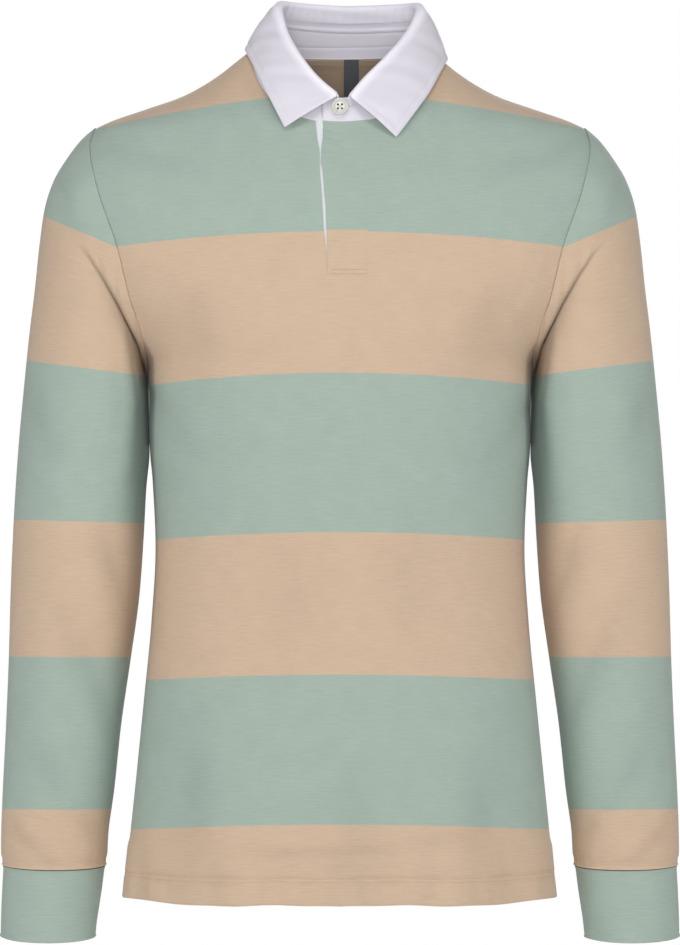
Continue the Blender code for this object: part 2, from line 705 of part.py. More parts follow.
def label_grid():
    """A narrow folded strip that hangs inside the back, behind the tape."""
    levels = np.linspace(-BACK_NECK_DROP - LABEL_LENGTH, -BACK_NECK_DROP - TAPE_INSET, 7)
    across = np.linspace(LABEL_RIGHT, LABEL_LEFT, 3)
    grid = np.array([on_body(across, level, "back") for level in levels])
    grid[:, :, 1] -= CLOTH + TRIM_CLEAR + TRIM_CLOTH + 6 * SEAM_GAP
    return grid


# ------------------------------------------------------------------------ button
def button_object(material, collection, cutters):
    """A turned four-hole button with a raised rim, facing out from the stand."""
    profile = (
        (BUTTON_RADIUS * 0.55, 0.55),
        (BUTTON_RADIUS * 0.66, 0.62),
        (BUTTON_RADIUS * 0.78, 0.95),
        (BUTTON_RADIUS * 0.90, 1.00),
        (BUTTON_RADIUS * 0.98, 0.85),
        (BUTTON_RADIUS * 1.00, 0.55),
        (BUTTON_RADIUS * 0.96, 0.25),
        (BUTTON_RADIUS * 0.84, 0.00),
    )
    made = bmesh.new()
    verts = [made.verts.new((0, 0, BUTTON_DEPTH * 0.55))]
    verts += [made.verts.new((r, 0, h * BUTTON_DEPTH)) for r, h in profile]
    verts.append(made.verts.new((0, 0, 0)))
    for a, b in zip(verts, verts[1:]):
        made.edges.new((a, b))
    mesh = bpy.data.meshes.new("button")
    made.to_mesh(mesh)
    made.free()
    obj = add_object("button", mesh, material, collection)
    turned = obj.modifiers.new("turned", "SCREW")
    turned.steps = 28
    turned.render_steps = 28
    turned.use_merge_vertices = True
    turned.merge_threshold = 0.00001
    turned.use_normal_calculate = True
    for n, (sx, sy) in enumerate(((1, 1), (1, -1), (-1, 1), (-1, -1))):
        bpy.ops.mesh.primitive_cylinder_add(
            vertices=10, radius=BUTTON_HOLE_RADIUS, depth=4 * BUTTON_DEPTH
        )
        hole = bpy.context.object
        hole.name = f"button_hole_{n + 1}"
        for owner in list(hole.users_collection):
            owner.objects.unlink(hole)
        cutters.objects.link(hole)
        hole.parent = obj
        hole.location = (sx * BUTTON_HOLE_PITCH, sy * BUTTON_HOLE_PITCH, 0)
        hole.hide_render = True
        hole.display_type = "WIRE"
        cut(obj, hole)
    return obj


# ---------------------------------------------------------------------- assembly
def main():
    clear_scene()
    shirt = new_collection("long_sleeve_polo_shirt")
    cutters = new_collection("cutters")

    front_cloth = finish_material("front_jersey", SAGE, MATT)
    back_cloth = finish_material("back_jersey", SAGE, MATT)
    sleeve_cloth = finish_material("sleeve_jersey", BEIGE, MATT)
    cuff_cloth = finish_material("cuff_jersey", SAGE, MATT)
    placket_cloth = finish_material("placket_jersey", BEIGE, MATT)
    twill = finish_material("collar_twill", COLLAR_WHITE, MATT)
    under_twill = finish_material("under_placket_twill", PLACKET_WHITE, MATT)
    tape_cloth = finish_material("neck_tape_cotton", TAPE_BEIGE, MATT)
    label_cloth = finish_material("label_satin", LABEL_GREY, SATIN)
    shell_plastic = finish_material("button_plastic", BUTTON_CREAM, GLOSSY)

    panels = {face: list(wall) for face, wall in panel_walls().items()}
    for side, name in ((1, "left"), (-1, "right")):
        loop, loop_normals = armhole_loop(panels, side)
        outer, normals, shared = sleeve_walls(loop, loop_normals, side)
        share_armhole_edges(panels, side, shared)
        inner = outer - normals * CLOTH
        wall_object(f"sleeve_{name}", outer, inner, sleeve_cloth, shirt, around=True)
        sheet_object(f"cuff_{name}", cuff_grid(side), cuff_cloth, shirt, CLOTH, around=True)

    for face, cloth in (("front", front_cloth), ("back", back_cloth)):
        outer, normals = panels[face]
        made = wall_object(face, outer, outer - normals * CLOTH, cloth, shirt)
        if face == "front":
            cut(made, placket_cutter(cutters))

    top = placket_grid(PLACKET_OPEN, PLACKET_OPEN, PLACKET_RIGHT - SEAM_GAP, PLACKET_PROUD)
    sheet_object("placket_top", top, placket_cloth, shirt, CLOTH)
    under = placket_grid(
        PLACKET_SLIT_TOP + SEAM_GAP,
        PLACKET_SLIT_BOTTOM + SEAM_GAP,
        PLACKET_UNDER_REACH,
        -UNDER_SUNK,
    )
    sheet_object("placket_under", under, under_twill, shirt, CLOTH)

    sheet_object("neck_tape", tape_grid(), tape_cloth, shirt, TRIM_CLOTH)
    sheet_object("neck_label", label_grid(), label_cloth, shirt, TRIM_CLOTH)

    seam = neck_seam()
    stations = collar_stations()
    sheet_object("collar_stand", stand_grid(stations, seam), twill, shirt, CLOTH)
    sheet_object("collar_fall", leaf_grid(stations, seam), twill, shirt, CLOTH)

    button = button_object(shell_plastic, shirt, cutters)
    stand_face = -depth_at(0.0, -FRONT_NECK_DROP, "front")
    button.location = (0, stand_face - BUTTON_STAND_OFF, BUTTON_LEVEL)
    button.rotation_euler = (math.radians(90 - BUTTON_LEAN), 0, 0)


main()
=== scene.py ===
"""Long-sleeve polo shirt in wide sage and beige stripes: its visible pieces, in the order
in which it is sewn together."""

import math

import bmesh
import bpy
import numpy as np
from mathutils import Matrix, Vector


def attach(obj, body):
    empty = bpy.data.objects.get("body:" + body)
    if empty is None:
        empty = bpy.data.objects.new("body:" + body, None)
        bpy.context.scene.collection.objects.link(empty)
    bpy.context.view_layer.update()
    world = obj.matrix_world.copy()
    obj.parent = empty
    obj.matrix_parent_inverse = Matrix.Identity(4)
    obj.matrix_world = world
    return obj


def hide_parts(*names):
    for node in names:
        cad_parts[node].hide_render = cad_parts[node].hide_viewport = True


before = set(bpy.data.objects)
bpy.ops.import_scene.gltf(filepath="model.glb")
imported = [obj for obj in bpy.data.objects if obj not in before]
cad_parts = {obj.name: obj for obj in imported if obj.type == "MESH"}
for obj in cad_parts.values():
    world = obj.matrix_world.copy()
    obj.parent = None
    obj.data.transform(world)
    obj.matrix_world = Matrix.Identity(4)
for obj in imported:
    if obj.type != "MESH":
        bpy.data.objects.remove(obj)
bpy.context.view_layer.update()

# ------------------------------------------------------------------------- Back
# The back is one piece of cotton jersey, knitted in wide sage and beige stripes. It is
# cut flat, and its soft folds come from how it hangs. The front is sewn to it at the
# sides and shoulders, and its hem is turned up and fixed with two rows of stitches.
JERSEY = 0.0010  # thickness of the cloth
SEAM_GAP = 0.00006
BODY_LENGTH = 0.737
ARMPIT_LEVEL = -0.272
VENT_LEVEL = -0.682
VENT_SPREAD = 0.004
VENT_FLARE = 0.0013  # below the vent's top the front stands out sideways
HEM_CORNER_RISE, HEM_CORNER_HEIGHT = 0.006, 0.0996  # the hem curves up to the vents
HEM_STITCH_RISE = (0.0200, 0.0232)  # the two rows, above the hem's edge
NECK_HALF = 0.0755
SHOULDER_HALF = 0.2105
NECK_DROP = {"front": 0.064, "back": 0.007}
NECK_ROUNDNESS = 2.2
NECK_SHARE = 5 / 12  # share of half a panel's columns that end at the neckline
HALF_WIDTH = 0.232  # half a panel measured over its curve
SIDE_OF = {"front": -1, "back": 1}
SAGE = (0.345, 0.425, 0.372)
BEIGE = (0.572, 0.426, 0.307)
FOLD_LIGHT_LOSS = 34  # painted shade: share of the light taken off the colour for each metre that a fold is deep
FOLD_LIGHT_MOST = 0.12  # and the most painted shade put on this way
PAINTED_LIGHT_BY_SLEEVE = 0.55  # painted light: the body's side is painted this much lighter where the sleeve nearly touches it
UPPER_COLUMN = 0.24  # from the armpit to the shoulder, along the cloth
UPPER_RISE = 0.245
ACROSS_STEPS, UPPER_STEPS, LOWER_STEPS = 60, 56, 112  # of half a panel's net
ROWS_RISE, ROWS_REACH = 0.0065, 0.18  # the knit's rows rise this much, this far out


def metres(rows, plain=None):
    """A table in millimetres turned into metres; one plain column isn't a length."""
    table = np.array(rows, float)
    kept = None if plain is None else table[..., plain].copy()
    table /= 1000
    if plain is not None:
        table[..., plain] = kept
    return table


# The body's level sections: level, half width, depth to the front and to the back, and
# how square each one is.
TORSO = metres((
    (-745, 187.6, 105, 107, 2.5), (-700, 183, 105, 107, 2.5), (-640, 177, 104, 105, 2.5),
    (-560, 169, 102, 97, 2.45), (-492, 162.5, 102, 90, 2.45), (-430, 159.1, 104, 88, 2.4),
    (-372, 161.6, 109, 93, 2.4), (-348, 163.8, 111.4, 96.8, 2.4), (-320, 165, 114, 101, 2.4),
    (-272, 165.5, 117, 109, 2.4), (-247, 181, 118, 113, 2.4), (-213, 212, 116, 116, 2.4),
    (-171, 234.5, 110, 117, 2.4), (-117, 243.5, 96, 113, 2.4), (-85, 226, 82, 105, 2.4),
    (-72.5, 214, 75.5, 101, 2.4), (-68.5, 210.5, 73.3, 99.5, 2.4), (-61.9, 196, 70, 96, 2.4),
    (-51.6, 166, 64, 91, 2.4), (-41.3, 136.7, 58, 86, 2.4), (-31, 117, 51.5, 81, 2.4),
    (-20.6, 101.5, 45, 75.5, 2.4), (-10.3, 88.6, 37, 70, 2.4), (0, 75.5, 29, 65, 2.4),
), plain=4)
# The armhole seam: level, across.
ARMHOLE = metres((
    (-272, 165.5), (-247, 170.3), (-213, 181.5), (-171, 191.8), (-117, 209.8), (-85, 215.4),
    (-72.5, 212.7), (-68.5, 210.5),
))
# Edges between the body's stripes, from the top: level at the centre, level at the
# side, how far across that is, and how the edge bends between them.
BODY_STRIPES = metres((
    (-38, -66.2, 197.8, 1.5), (-158.2, -171.1, 192, 2), (-279.5, -289.8, 163, 2),
    (-416.2, -423.1, 159, 2), (-538.4, -543.5, 166, 2), (-667, -672.1, 179, 2),
), plain=3)
# Soft folds of the back: across, level, depth, width.
BACK_FOLDS = (
    ((-150, -150, 2, 20), (-110, -230, 4, 24), (-85, -330, 1, 26)),
    ((155, -160, 2, 20), (120, -250, 3.5, 22), (105, -350, 1, 26)),
    ((-140, -400, 0, 25), (-60, -428, 3, 22), (10, -440, 0, 22)),
    ((145, -430, 0, 25), (70, -462, 3, 20), (0, -470, 0, 22)),
    ((-120, -520, 0, 20), (-95, -620, 2.5, 24), (-90, -730, 1, 26)),
    ((50, -560, 0, 20), (62, -650, 2.5, 26), (70, -735, 2, 28)),
)


def smooth_curve(knots, values):
    """A smooth curve through a table's rows that doesn't swing past them."""
    knots = np.array(knots, float)
    values = np.array(values, float)
    steps = np.diff(knots)
    slopes = np.diff(values) / steps
    tangents = np.concatenate([slopes[:1], np.zeros(len(slopes) - 1), slopes[-1:]])
    for i in range(1, len(slopes)):
        if slopes[i - 1] * slopes[i] > 0:
            tangents[i] = 2 * slopes[i - 1] * slopes[i] / (slopes[i - 1] + slopes[i])

    def read(at):
        i = np.clip(np.searchsorted(knots, at) - 1, 0, len(steps) - 1)
        t = (at - knots[i]) / steps[i]
        return (
            values[i] * (1 + 2 * t) * (1 - t) ** 2
            + tangents[i] * steps[i] * t * (1 - t) ** 2
            + values[i + 1] * t * t * (3 - 2 * t)
            + tangents[i + 1] * steps[i] * t * t * (t - 1)
        )

    return read


def bell(away, power=2):
    """1 where away is 0, and soon 0 beyond 1."""
    return np.exp(-(np.abs(away) ** power))


def soft_step(share):
    share = np.clip(share, 0, 1)
    return share * share * (3 - 2 * share)


def unit(vectors):
    return vectors / np.linalg.norm(vectors, axis=-1, keepdims=True)


def lengths_along(points):
    return np.concatenate([[0], np.cumsum(np.linalg.norm(np.diff(points, axis=0), axis=1))])


def read_at(at, lengths, values):
    return np.stack([np.interp(at, lengths, column) for column in np.asarray(values).T], 1)


def at_shares(points, shares):
    """Points of a fine line at shares of its length."""
    lengths = lengths_along(points)
    return read_at(np.asarray(shares) * lengths[-1], lengths, points)


half_width_at, front_depth_at, back_depth_at, squareness_at = [
    smooth_curve(TORSO[:, 0], column) for column in TORSO.T[1:]
]
depth_of = {"front": front_depth_at, "back": back_depth_at}
armhole_across = smooth_curve(*ARMHOLE.T)
shoulder = TORSO[TORSO[:, 0] >= ARMHOLE[-1, 0]][::-1]
shoulder_level = smooth_curve(shoulder[:, 1], shoulder[:, 0])


def depth_at(across, level, face):
    """How far the body's surface lies from the plane of the side seams."""
    share = np.clip(np.abs(across) / half_width_at(level), 0, 1)
    n = squareness_at(level)
    return depth_of[face](level) * (1 - share**n) ** (1 / n)


def on_body(across, level, face):
    across, level = np.broadcast_arrays(across, level)
    return np.stack([across, SIDE_OF[face] * depth_at(across, level, face), level], -1)


def read_table(table):
    """A table's rows read finely, each column as a smooth curve."""
    rows = np.arange(len(table))
    fine = np.linspace(0, rows[-1], 600)
    return np.stack([smooth_curve(rows, column)(fine) for column in table.T], 1)


def level_section(level, face, edge_depth, shares):
    """Half a level section, from the centre line to the side seam."""
    n = squareness_at(level)
    depth = depth_of[face](level)
    turn = np.linspace(math.pi / 2, math.asin((edge_depth / depth) ** (n / 2)), 400)
    across = half_width_at(level) * np.cos(turn) ** (2 / n)
    away = SIDE_OF[face] * depth * np.sin(turn) ** (2 / n)
    return at_shares(np.stack([across, away, np.full(400, level)], 1), shares)


def neck_point(turn, face):
    """The neckline seen from the front; turn runs from 0 at the centre to a quarter turn."""
    across = NECK_HALF * math.sin(turn) ** (2 / NECK_ROUNDNESS)
    level = -NECK_DROP[face] * max(math.cos(turn), 0.0) ** (2 / NECK_ROUNDNESS)
    return across, level


def upper_column(end, start_across, share, face):
    """A fine line from the armpit's level up to a point of the neckline or shoulder."""
    up = np.sin(np.linspace(0, math.pi / 2, 400))
    level = ARMPIT_LEVEL + (end[1] - ARMPIT_LEVEL) * up
    across = start_across + (end[0] - start_across) * up
    arm_level = ARMPIT_LEVEL + (ARMHOLE[-1, 0] - ARMPIT_LEVEL) * up
    straight = ARMHOLE[0, 1] + (ARMHOLE[-1, 1] - ARMHOLE[0, 1]) * up
    across = across + (armhole_across(arm_level) - straight) * share**2
    return on_body(across, level, face)


def column_end(share, face):
    """Where the panel's column ends: on the neckline, or further out on the shoulder."""
    if share < NECK_SHARE:
        return neck_point(math.pi / 2 * share / NECK_SHARE, face)
    out = (share - NECK_SHARE) / (1 - NECK_SHARE)
    across = NECK_HALF + (SHOULDER_HALF - NECK_HALF) * out
    return across, float(shoulder_level(across))


def close_to_edge(count, length):
    """Even shares of a length, and closer ones beside its sewn end."""
    close = 1 - np.array((0.0060, 0.0036, 0.0022, 0.0013, 0.0006)) / length
    return np.concatenate([np.linspace(0, 1 - 0.009 / length, count), close, [1.0]])


across_shares = close_to_edge(ACROSS_STEPS, HALF_WIDTH)
up_shares = close_to_edge(UPPER_STEPS, UPPER_COLUMN)
hem_rises = metres(
    (0, 0.5, 1.2, 2.5, 5, 8, 12, 15.5, 18, 19.2, 20, 20.8, 21.6, 22.4, 23.2, 24, 25.2, 27.5)
)
lower_levels = np.concatenate([
    -BODY_LENGTH + hem_rises, np.linspace(-BODY_LENGTH + 0.031, ARMPIT_LEVEL, LOWER_STEPS)
])


def half_panel(face):
    """Rows from the hem to the top edge; columns from the centre to the side seam."""
    rows = []
    for level in lower_levels:
        vent = max(0.0, (VENT_LEVEL - level) / (VENT_LEVEL + BODY_LENGTH))
        row = level_section(level, face, SEAM_GAP / 2 + VENT_SPREAD * vent, across_shares)
        rise = level + BODY_LENGTH
        fading = max(0.0, 1 - rise / HEM_CORNER_HEIGHT)
        row[:, 2] += HEM_CORNER_RISE * (row[:, 0] / row[-1, 0]) ** 5 * fading
        if face == "front":
            row[:, 0] += VENT_FLARE * min(1.0, 8 * vent) * (row[:, 0] / row[-1, 0]) ** 14
        wave = np.sin(row[:, 0] * 52 + SIDE_OF[face]) + 0.5 * np.sin(row[:, 0] * 118 + 0.7)
        row[:, 2] += 0.0006 * wave * bell(rise / 0.03)
        rows.append(row)
    chest = rows[-1]
    upper = []
    for start, share in zip(chest, across_shares):
        column = at_shares(upper_column(column_end(share, face), start[0], share, face), up_shares)
        if share >= NECK_SHARE:
            column[-1, 1] = SIDE_OF[face] * SEAM_GAP / 2
        column[0] = start
        upper.append(column)
    grid = np.concatenate([np.array(rows), np.array(upper).transpose(1, 0, 2)[1:]])
    grid[len(rows) - 1 :, -1, 0] -= SEAM_GAP / 2
    return grid


def grid_normals(grid):
    return unit(np.cross(np.gradient(grid, axis=1), np.gradient(grid, axis=0)))


def crease(points, path, steep=1.0, sharp=2.0):
    """How deep a listed fold sinks each point. Its path is seen from the front, in rows of across,
    level, depth and width; a ridge has a negative depth. The side nearer the body's centre can be
    steeper than the other, and the bottom can be sharp."""
    path = metres(path)
    seen = points[..., (0, 2)]
    nearest = np.full(points.shape[:-1], np.inf)
    sunk = np.zeros(points.shape[:-1])
    for (ax, az, a_deep, a_wide), (bx, bz, b_deep, b_wide) in zip(path, path[1:]):
        run = np.array((bx - ax, bz - az))
        t = np.clip(((seen - (ax, az)) @ run) / (run @ run), 0, 1)
        off = seen - ((ax, az) + t[..., None] * run)
        wide = a_wide + (b_wide - a_wide) * t
        wide = np.where(off[..., 0] * np.sign(ax) < 0, wide * steep, wide)
        away = np.linalg.norm(off, axis=-1) / wide
        sunk = np.where(away < nearest, (a_deep + (b_deep - a_deep) * t) * bell(away, sharp), sunk)
        nearest = np.minimum(away, nearest)
    return sunk


def stripe_side(across, level, edges, first):
    """Signed distance to the nearest stripe edge: above zero in sage, below in beige."""
    gaps = np.stack([
        level - centre - (side - centre) * (np.abs(across) / side_across) ** bend
        for centre, side, side_across, bend in edges
    ], -1)
    crossed = (gaps < 0).sum(-1)
    return first * (1 - 2 * (crossed % 2)) * np.abs(gaps).min(-1)


def cloth_net(grid, flat, band=None, shade=None):
    """A net of squares, laid point by point on the cloth's form. flat holds each point's
    place on the uncut cloth in metres, and goes into the UV map."""
    net = bmesh.new()
    flat_map = net.loops.layers.uv.new("UVMap")
    rows, columns = grid.shape[:2]
    bmesh.ops.create_grid(net, x_segments=columns - 1, y_segments=rows - 1, size=1)
    for vert, place, laid in zip(net.verts, grid.reshape(-1, 3), flat.reshape(-1, 2)):
        vert.co = place
        for loop in vert.link_loops:
            loop[flat_map].uv = laid
    # The second layer holds painted shade, above zero, and painted light, below zero.
    for label, values in (("band", band), ("painted_shade_and_light", shade)):
        layer = net.verts.layers.float.new(label)
        if values is not None:
            for vert, value in zip(net.verts, values.reshape(-1)):
                vert[layer] = value
    return net


def new_piece(name, net, material=None, slot=None):
    """A finished net as an object. With a slot it is a piece of the shirt's one body."""
    mesh = bpy.data.meshes.new(name)
    net.to_mesh(mesh)
    net.free()
    piece = bpy.data.objects.new(name, mesh)
    bpy.context.scene.collection.objects.link(piece)
    if material:
        mesh.materials.append(material)
    if slot:
        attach(piece, "root")
    return piece


def sewn_piece(name, net, material, thickness, slot, node):
    """A piece of cloth in its node's place, with its thickness turned inwards."""
    for face in net.faces:
        face.smooth = True
    for edge in net.edges:
        edge.smooth = not edge.is_boundary
    piece = new_piece(name, net, material, slot)
    wall = piece.modifiers.new("cloth", "SOLIDIFY")
    wall.thickness = thickness
    wall.offset = -1.0
    wall.use_even_offset = True
    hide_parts(node)
    return piece


def set_node(tree, kind, links=None, **values):
    """A node with its plain settings and links; links map a socket to another's output."""
    node = tree.nodes.new("ShaderNode" + kind)
    for key, value in values.items():
        setattr(node, key, value)
    for socket, source in (links or {}).items():
        if hasattr(source, "is_output"):
            tree.links.new(source, node.inputs[socket])
        else:
            node.inputs[socket].default_value = source
    return node


def sums(tree, operation, *sources):
    return set_node(tree, "Math", dict(enumerate(sources)), operation=operation).outputs[0]


def noise(tree, place, scale, detail, roughness=0.5):
    links = {"Vector": place, "Scale": scale, "Detail": detail, "Roughness": roughness}
    return set_node(tree, "TexNoise", links).outputs[0]


def two_colours(tree, share, low, high):
    links = {"Factor": share, 6: (*low, 1), 7: (*high, 1)}
    return set_node(tree, "Mix", links, data_type="RGBA").outputs[2]


def pattern_group(name, **sizes):
    """An empty shader group: from a place on the cloth to the pattern's height and shade."""
    group = bpy.data.node_groups.new(name, "ShaderNodeTree")
    sockets = group.interface
    sockets.new_socket("Place", in_out="INPUT", socket_type="NodeSocketVector")
    for label, size in sizes.items():
        socket = sockets.new_socket(label, in_out="INPUT", socket_type="NodeSocketFloat")
        socket.default_value = size
    for label in ("Height", "Shade"):
        sockets.new_socket(label, in_out="OUTPUT", socket_type="NodeSocketFloat")
    given, made = [group.nodes.new(kind) for kind in ("NodeGroupInput", "NodeGroupOutput")]
    return group, given.outputs, made.inputs


def knit_group():
    """Courses and wales of a plain knit, and the cotton's uneven yarn."""
    group, given, made = pattern_group("plain_knit", Course=0.0012, Wale=0.0011)
    axes = set_node(group, "SeparateXYZ", {0: given["Place"]}).outputs
    wales = sums(group, "DIVIDE", axes[0], given["Wale"])
    leg = sums(group, "PINGPONG", wales, 0.5)
    courses = sums(group, "DIVIDE", axes[1], given["Course"])
    slanted = sums(group, "MULTIPLY_ADD", leg, 0.5, courses)
    row_wave = sums(group, "SINE", sums(group, "MULTIPLY", slanted, 2 * math.pi))
    leg_wave = sums(group, "SINE", sums(group, "MULTIPLY", wales, 2 * math.pi))
    streaks = set_node(group, "Mapping", {"Vector": given["Place"], "Scale": (60, 950, 1)})
    yarn = noise(group, streaks.outputs[0], 1.0, 4.0, 0.7)
    cloudy = noise(group, given["Place"], 45.0, 3.0, 0.55)
    both = sums(group, "MULTIPLY_ADD", leg_wave, 0.35, row_wave)
    group.links.new(sums(group, "MULTIPLY_ADD", yarn, 1.2, both), made["Height"])
    shade = sums(group, "MULTIPLY_ADD", both, 0.08, yarn)
    shade = sums(group, "MULTIPLY_ADD", cloudy, 0.35, shade)
    group.links.new(sums(group, "SUBTRACT", shade, 0.675), made["Shade"])
    return group


def new_material(name):
    material = bpy.data.materials.new(name)
    material.use_nodes = True
    tree = material.node_tree
    return material, tree, tree.nodes["Principled BSDF"]


def lit_and_raised(tree, shader, colour, light, height, strength, distance):
    """The colour times a factor, over a surface raised by the height: the factor is the cloth's
    own tone, and for cloth also its painted shade and light.
    """
    shaded = set_node(tree, "VectorMath", {0: colour, "Scale": light}, operation="SCALE")
    relief = set_node(
        tree, "Bump", {"Height": height, "Strength": strength, "Distance": distance}
    )
    tree.links.new(shaded.outputs[0], shader.inputs["Base Color"])
    tree.links.new(relief.outputs[0], shader.inputs["Normal"])


def textile(name, pattern, colours, contrast, relief, levels, sizes=None, matt_folds=False):
    """Cloth with a knitted or woven pattern. Of two colours, the piece's band attribute says which
    is where, and its attribute of painted shade and light darkens the cloth in its folds and
    lightens it where painted light is put."""
    material, tree, shader = new_material(name)
    weave = set_node(tree, "Group", node_tree=pattern)
    flat = set_node(tree, "UVMap", uv_map="UVMap")
    tree.links.new(flat.outputs[0], weave.inputs["Place"])
    for socket, size in (sizes or {}).items():
        weave.inputs[socket].default_value = size
    colour = colours[0]
    if len(colours) == 2:
        band = set_node(tree, "Attribute", attribute_name="band").outputs["Fac"]
        edge = {"Value": band, "From Min": -0.0004, "From Max": 0.0004}
        edge = set_node(tree, "MapRange", edge, interpolation_type="SMOOTHSTEP").outputs[0]
        colour = two_colours(tree, edge, *colours)
    # Painted shade and light: the colour is multiplied by one less the piece's attribute.
    folded = set_node(tree, "Attribute", attribute_name="painted_shade_and_light").outputs["Fac"]
    light = sums(tree, "MULTIPLY_ADD", weave.outputs["Shade"], contrast, 1.0)
    light = sums(tree, "MULTIPLY", light, sums(tree, "SUBTRACT", 1.0, folded))
    lit_and_raised(tree, shader, colour, light, weave.outputs["Height"], *relief)
    for socket, level in levels.items():
        shader.inputs[socket].default_value = level
        if matt_folds and socket in ("Specular IOR Level", "Sheen Weight"):
            shine = {"Value": folded, "From Max": 0.6, "To Min": level, "To Max": 0.0}
            shine = set_node(tree, "MapRange", shine).outputs[0]
            tree.links.new(shine, shader.inputs[socket])
    return material


plain_knit = knit_group()
striped_jersey = textile(
    "striped_jersey", plain_knit, (BEIGE, SAGE), 0.33, (0.30, 0.00010),
    {"Roughness": 0.92, "Specular IOR Level": 0.15, "Sheen Weight": 0.20, "Sheen Roughness": 0.5},
    matt_folds=True,  # deep inside a fold the cloth has no shine of its own
)


def panel_net(face, folds):
    """Front or back: the half mirrored about the centre, sunk at its seams and folds."""
    half = half_panel(face)
    grid = np.concatenate([half[:, :0:-1] * (-1, 1, 1), half], axis=1)
    out = np.concatenate([-across_shares[:0:-1], across_shares])
    up = np.concatenate([lower_levels, ARMPIT_LEVEL + up_shares[1:] * UPPER_RISE])
    if face == "back":
        grid = grid[:, ::-1]
        out = out[::-1]
    normals = grid_normals(grid)
    from_side = (1 - np.abs(out))[None, :] * HALF_WIDTH
    from_top = (up[-1] - up)[:, None]
    rise = (up + BODY_LENGTH)[:, None]
    folded = sum(crease(grid, path) for path in folds)
    sunk = 0.0002 * np.maximum(bell(from_side / 0.0010), bell(from_top / 0.0010)) + folded
    sunk = sunk + 0.0006 * bell(rise / 0.0008)
    for row in HEM_STITCH_RISE:
        sunk = sunk + 0.0005 * bell((rise - row) / 0.0009)
    across = out[None, :] * HALF_WIDTH
    wave = np.sin(across * 95) + 0.6 * np.sin(across * 167 + 1.1)
    sunk = sunk + 0.0011 * wave * bell(rise / 0.045)
    pucker = np.sin(across * 410 + 3 * np.sin(across * 40)) + 0.7 * np.sin(across * 233)
    sunk = sunk + 0.0003 * pucker * bell((rise - 0.014) / 0.012)
    # Painted shade in the folds, and in bands along the hem just above and below its stitch rows.
    by_rows = bell((rise - 0.0255) / 0.0016) + 0.6 * bell((rise - 0.0185) / 0.0011)
    uneven = 0.5 + 0.5 * np.sin(across * 31 + 1.0) * np.sin(across * 73)
    shade = np.clip(FOLD_LIGHT_LOSS * folded, 0, FOLD_LIGHT_MOST) + 0.11 * by_rows * uneven
    # Painted light on the body's side beside the armpit, where the sleeve nearly touches it.
    by_sleeve = bell(from_side / 0.008) * bell((grid[..., 2] + 0.300) / 0.060, 4)
    shade = np.clip(shade, 0, 0.3) - PAINTED_LIGHT_BY_SLEEVE * by_sleeve
    course = grid[..., 2] + ROWS_RISE * (grid[..., 0] / ROWS_REACH) ** 2
    flat = np.stack(np.broadcast_arrays(across, course), -1)
    band = stripe_side(grid[..., 0], grid[..., 2], BODY_STRIPES, -1)
    shaped = grid - normals * sunk[..., None]
    return shaped, cloth_net(shaped, flat, band, shade)


back_form, back_net = panel_net("back", BACK_FOLDS)
back = sewn_piece("back_panel", back_net, striped_jersey, JERSEY, "striped_jersey", "back")


def rounded_bars(name, frames, material, slot, around, along):
    """Threads on the surface: a ball stretched into each frame."""
    net = bmesh.new()
    for place in frames:
        bmesh.ops.create_uvsphere(
            net, u_segments=around, v_segments=along, radius=0.5, matrix=place
        )
    new_piece(name, net, material, slot).data.shade_smooth()


def stitches(name, line, out, material, slot, pitch=0.0031, size=(0.0024, 0.00050, 0.00036)):
    """A row of lockstitches along a line on the cloth: one small rounded bar for each."""
    lengths = lengths_along(line)
    count = max(2, int(lengths[-1] / pitch))
    at = (np.arange(count) + 0.5) / count
    step = 0.0005 / lengths[-1]
    ahead, back = [at_shares(line, np.clip(at + way, 0, 1)) for way in (step, -step)]
    runs = unit(ahead - back)
    ups = unit(read_at(at * lengths[-1], lengths, out))
    frames = []
    for middle, run, up in zip(at_shares(line, at), runs, ups):
        x = Vector(run)
        z = (Vector(up) - Vector(up).dot(x) * x).normalized()
        turn = Matrix((x * size[0], z.cross(x) * size[1], z * size[2])).transposed().to_4x4()
        frames.append(Matrix.Translation(Vector(middle) + z * size[2] * 0.25) @ turn)
    rounded_bars(name, frames, material, slot, 6, 4)


def thread_material(name, colour):
    """Spun polyester sewing thread."""
    material, tree, shader = new_material(name)
    twist = noise(tree, set_node(tree, "TexCoord").outputs["Object"], 2500.0, 2.0)
    tone = {"Value": twist, "From Min": 0.3, "From Max": 0.7, "To Min": 0.86, "To Max": 1.08}
    light = set_node(tree, "MapRange", tone).outputs[0]
    lit_and_raised(tree, shader, colour, light, twist, 0.3, 0.0001)
    shader.inputs["Roughness"].default_value = 0.6
    return material


beige_thread = thread_material("beige_thread", (0.52, 0.38, 0.26))


def hem_stitches(name, form):
    """Both rows of the hem, read off the panel's own points."""
    normals = grid_normals(form)
    for number, rise in enumerate(HEM_STITCH_RISE, 1):
        row = int(np.argmin(np.abs(lower_levels + BODY_LENGTH - rise)))
        stitches(f"{name}_{number}", form[row], normals[row], beige_thread, "striped_jersey")


hem_stitches("back_hem_stitching", back_form)

# ------------------------------------------------------------------------ Front
# The front is one piece like the back. A slot is cut into it below the neck, a little
# towards the wearer's right, for the placket that is sewn into it.
PLACKET_RIGHT = 0.024
PLACKET_FOOT = -0.196
SLOT_RIGHT = PLACKET_RIGHT - 0.002  # the front runs under the placket's sewn edges
SLOT_BOTTOM = PLACKET_FOOT + 0.002
SLOT_LEFT_TOP, SLOT_LEFT_BOTTOM = -0.0210, -0.0110
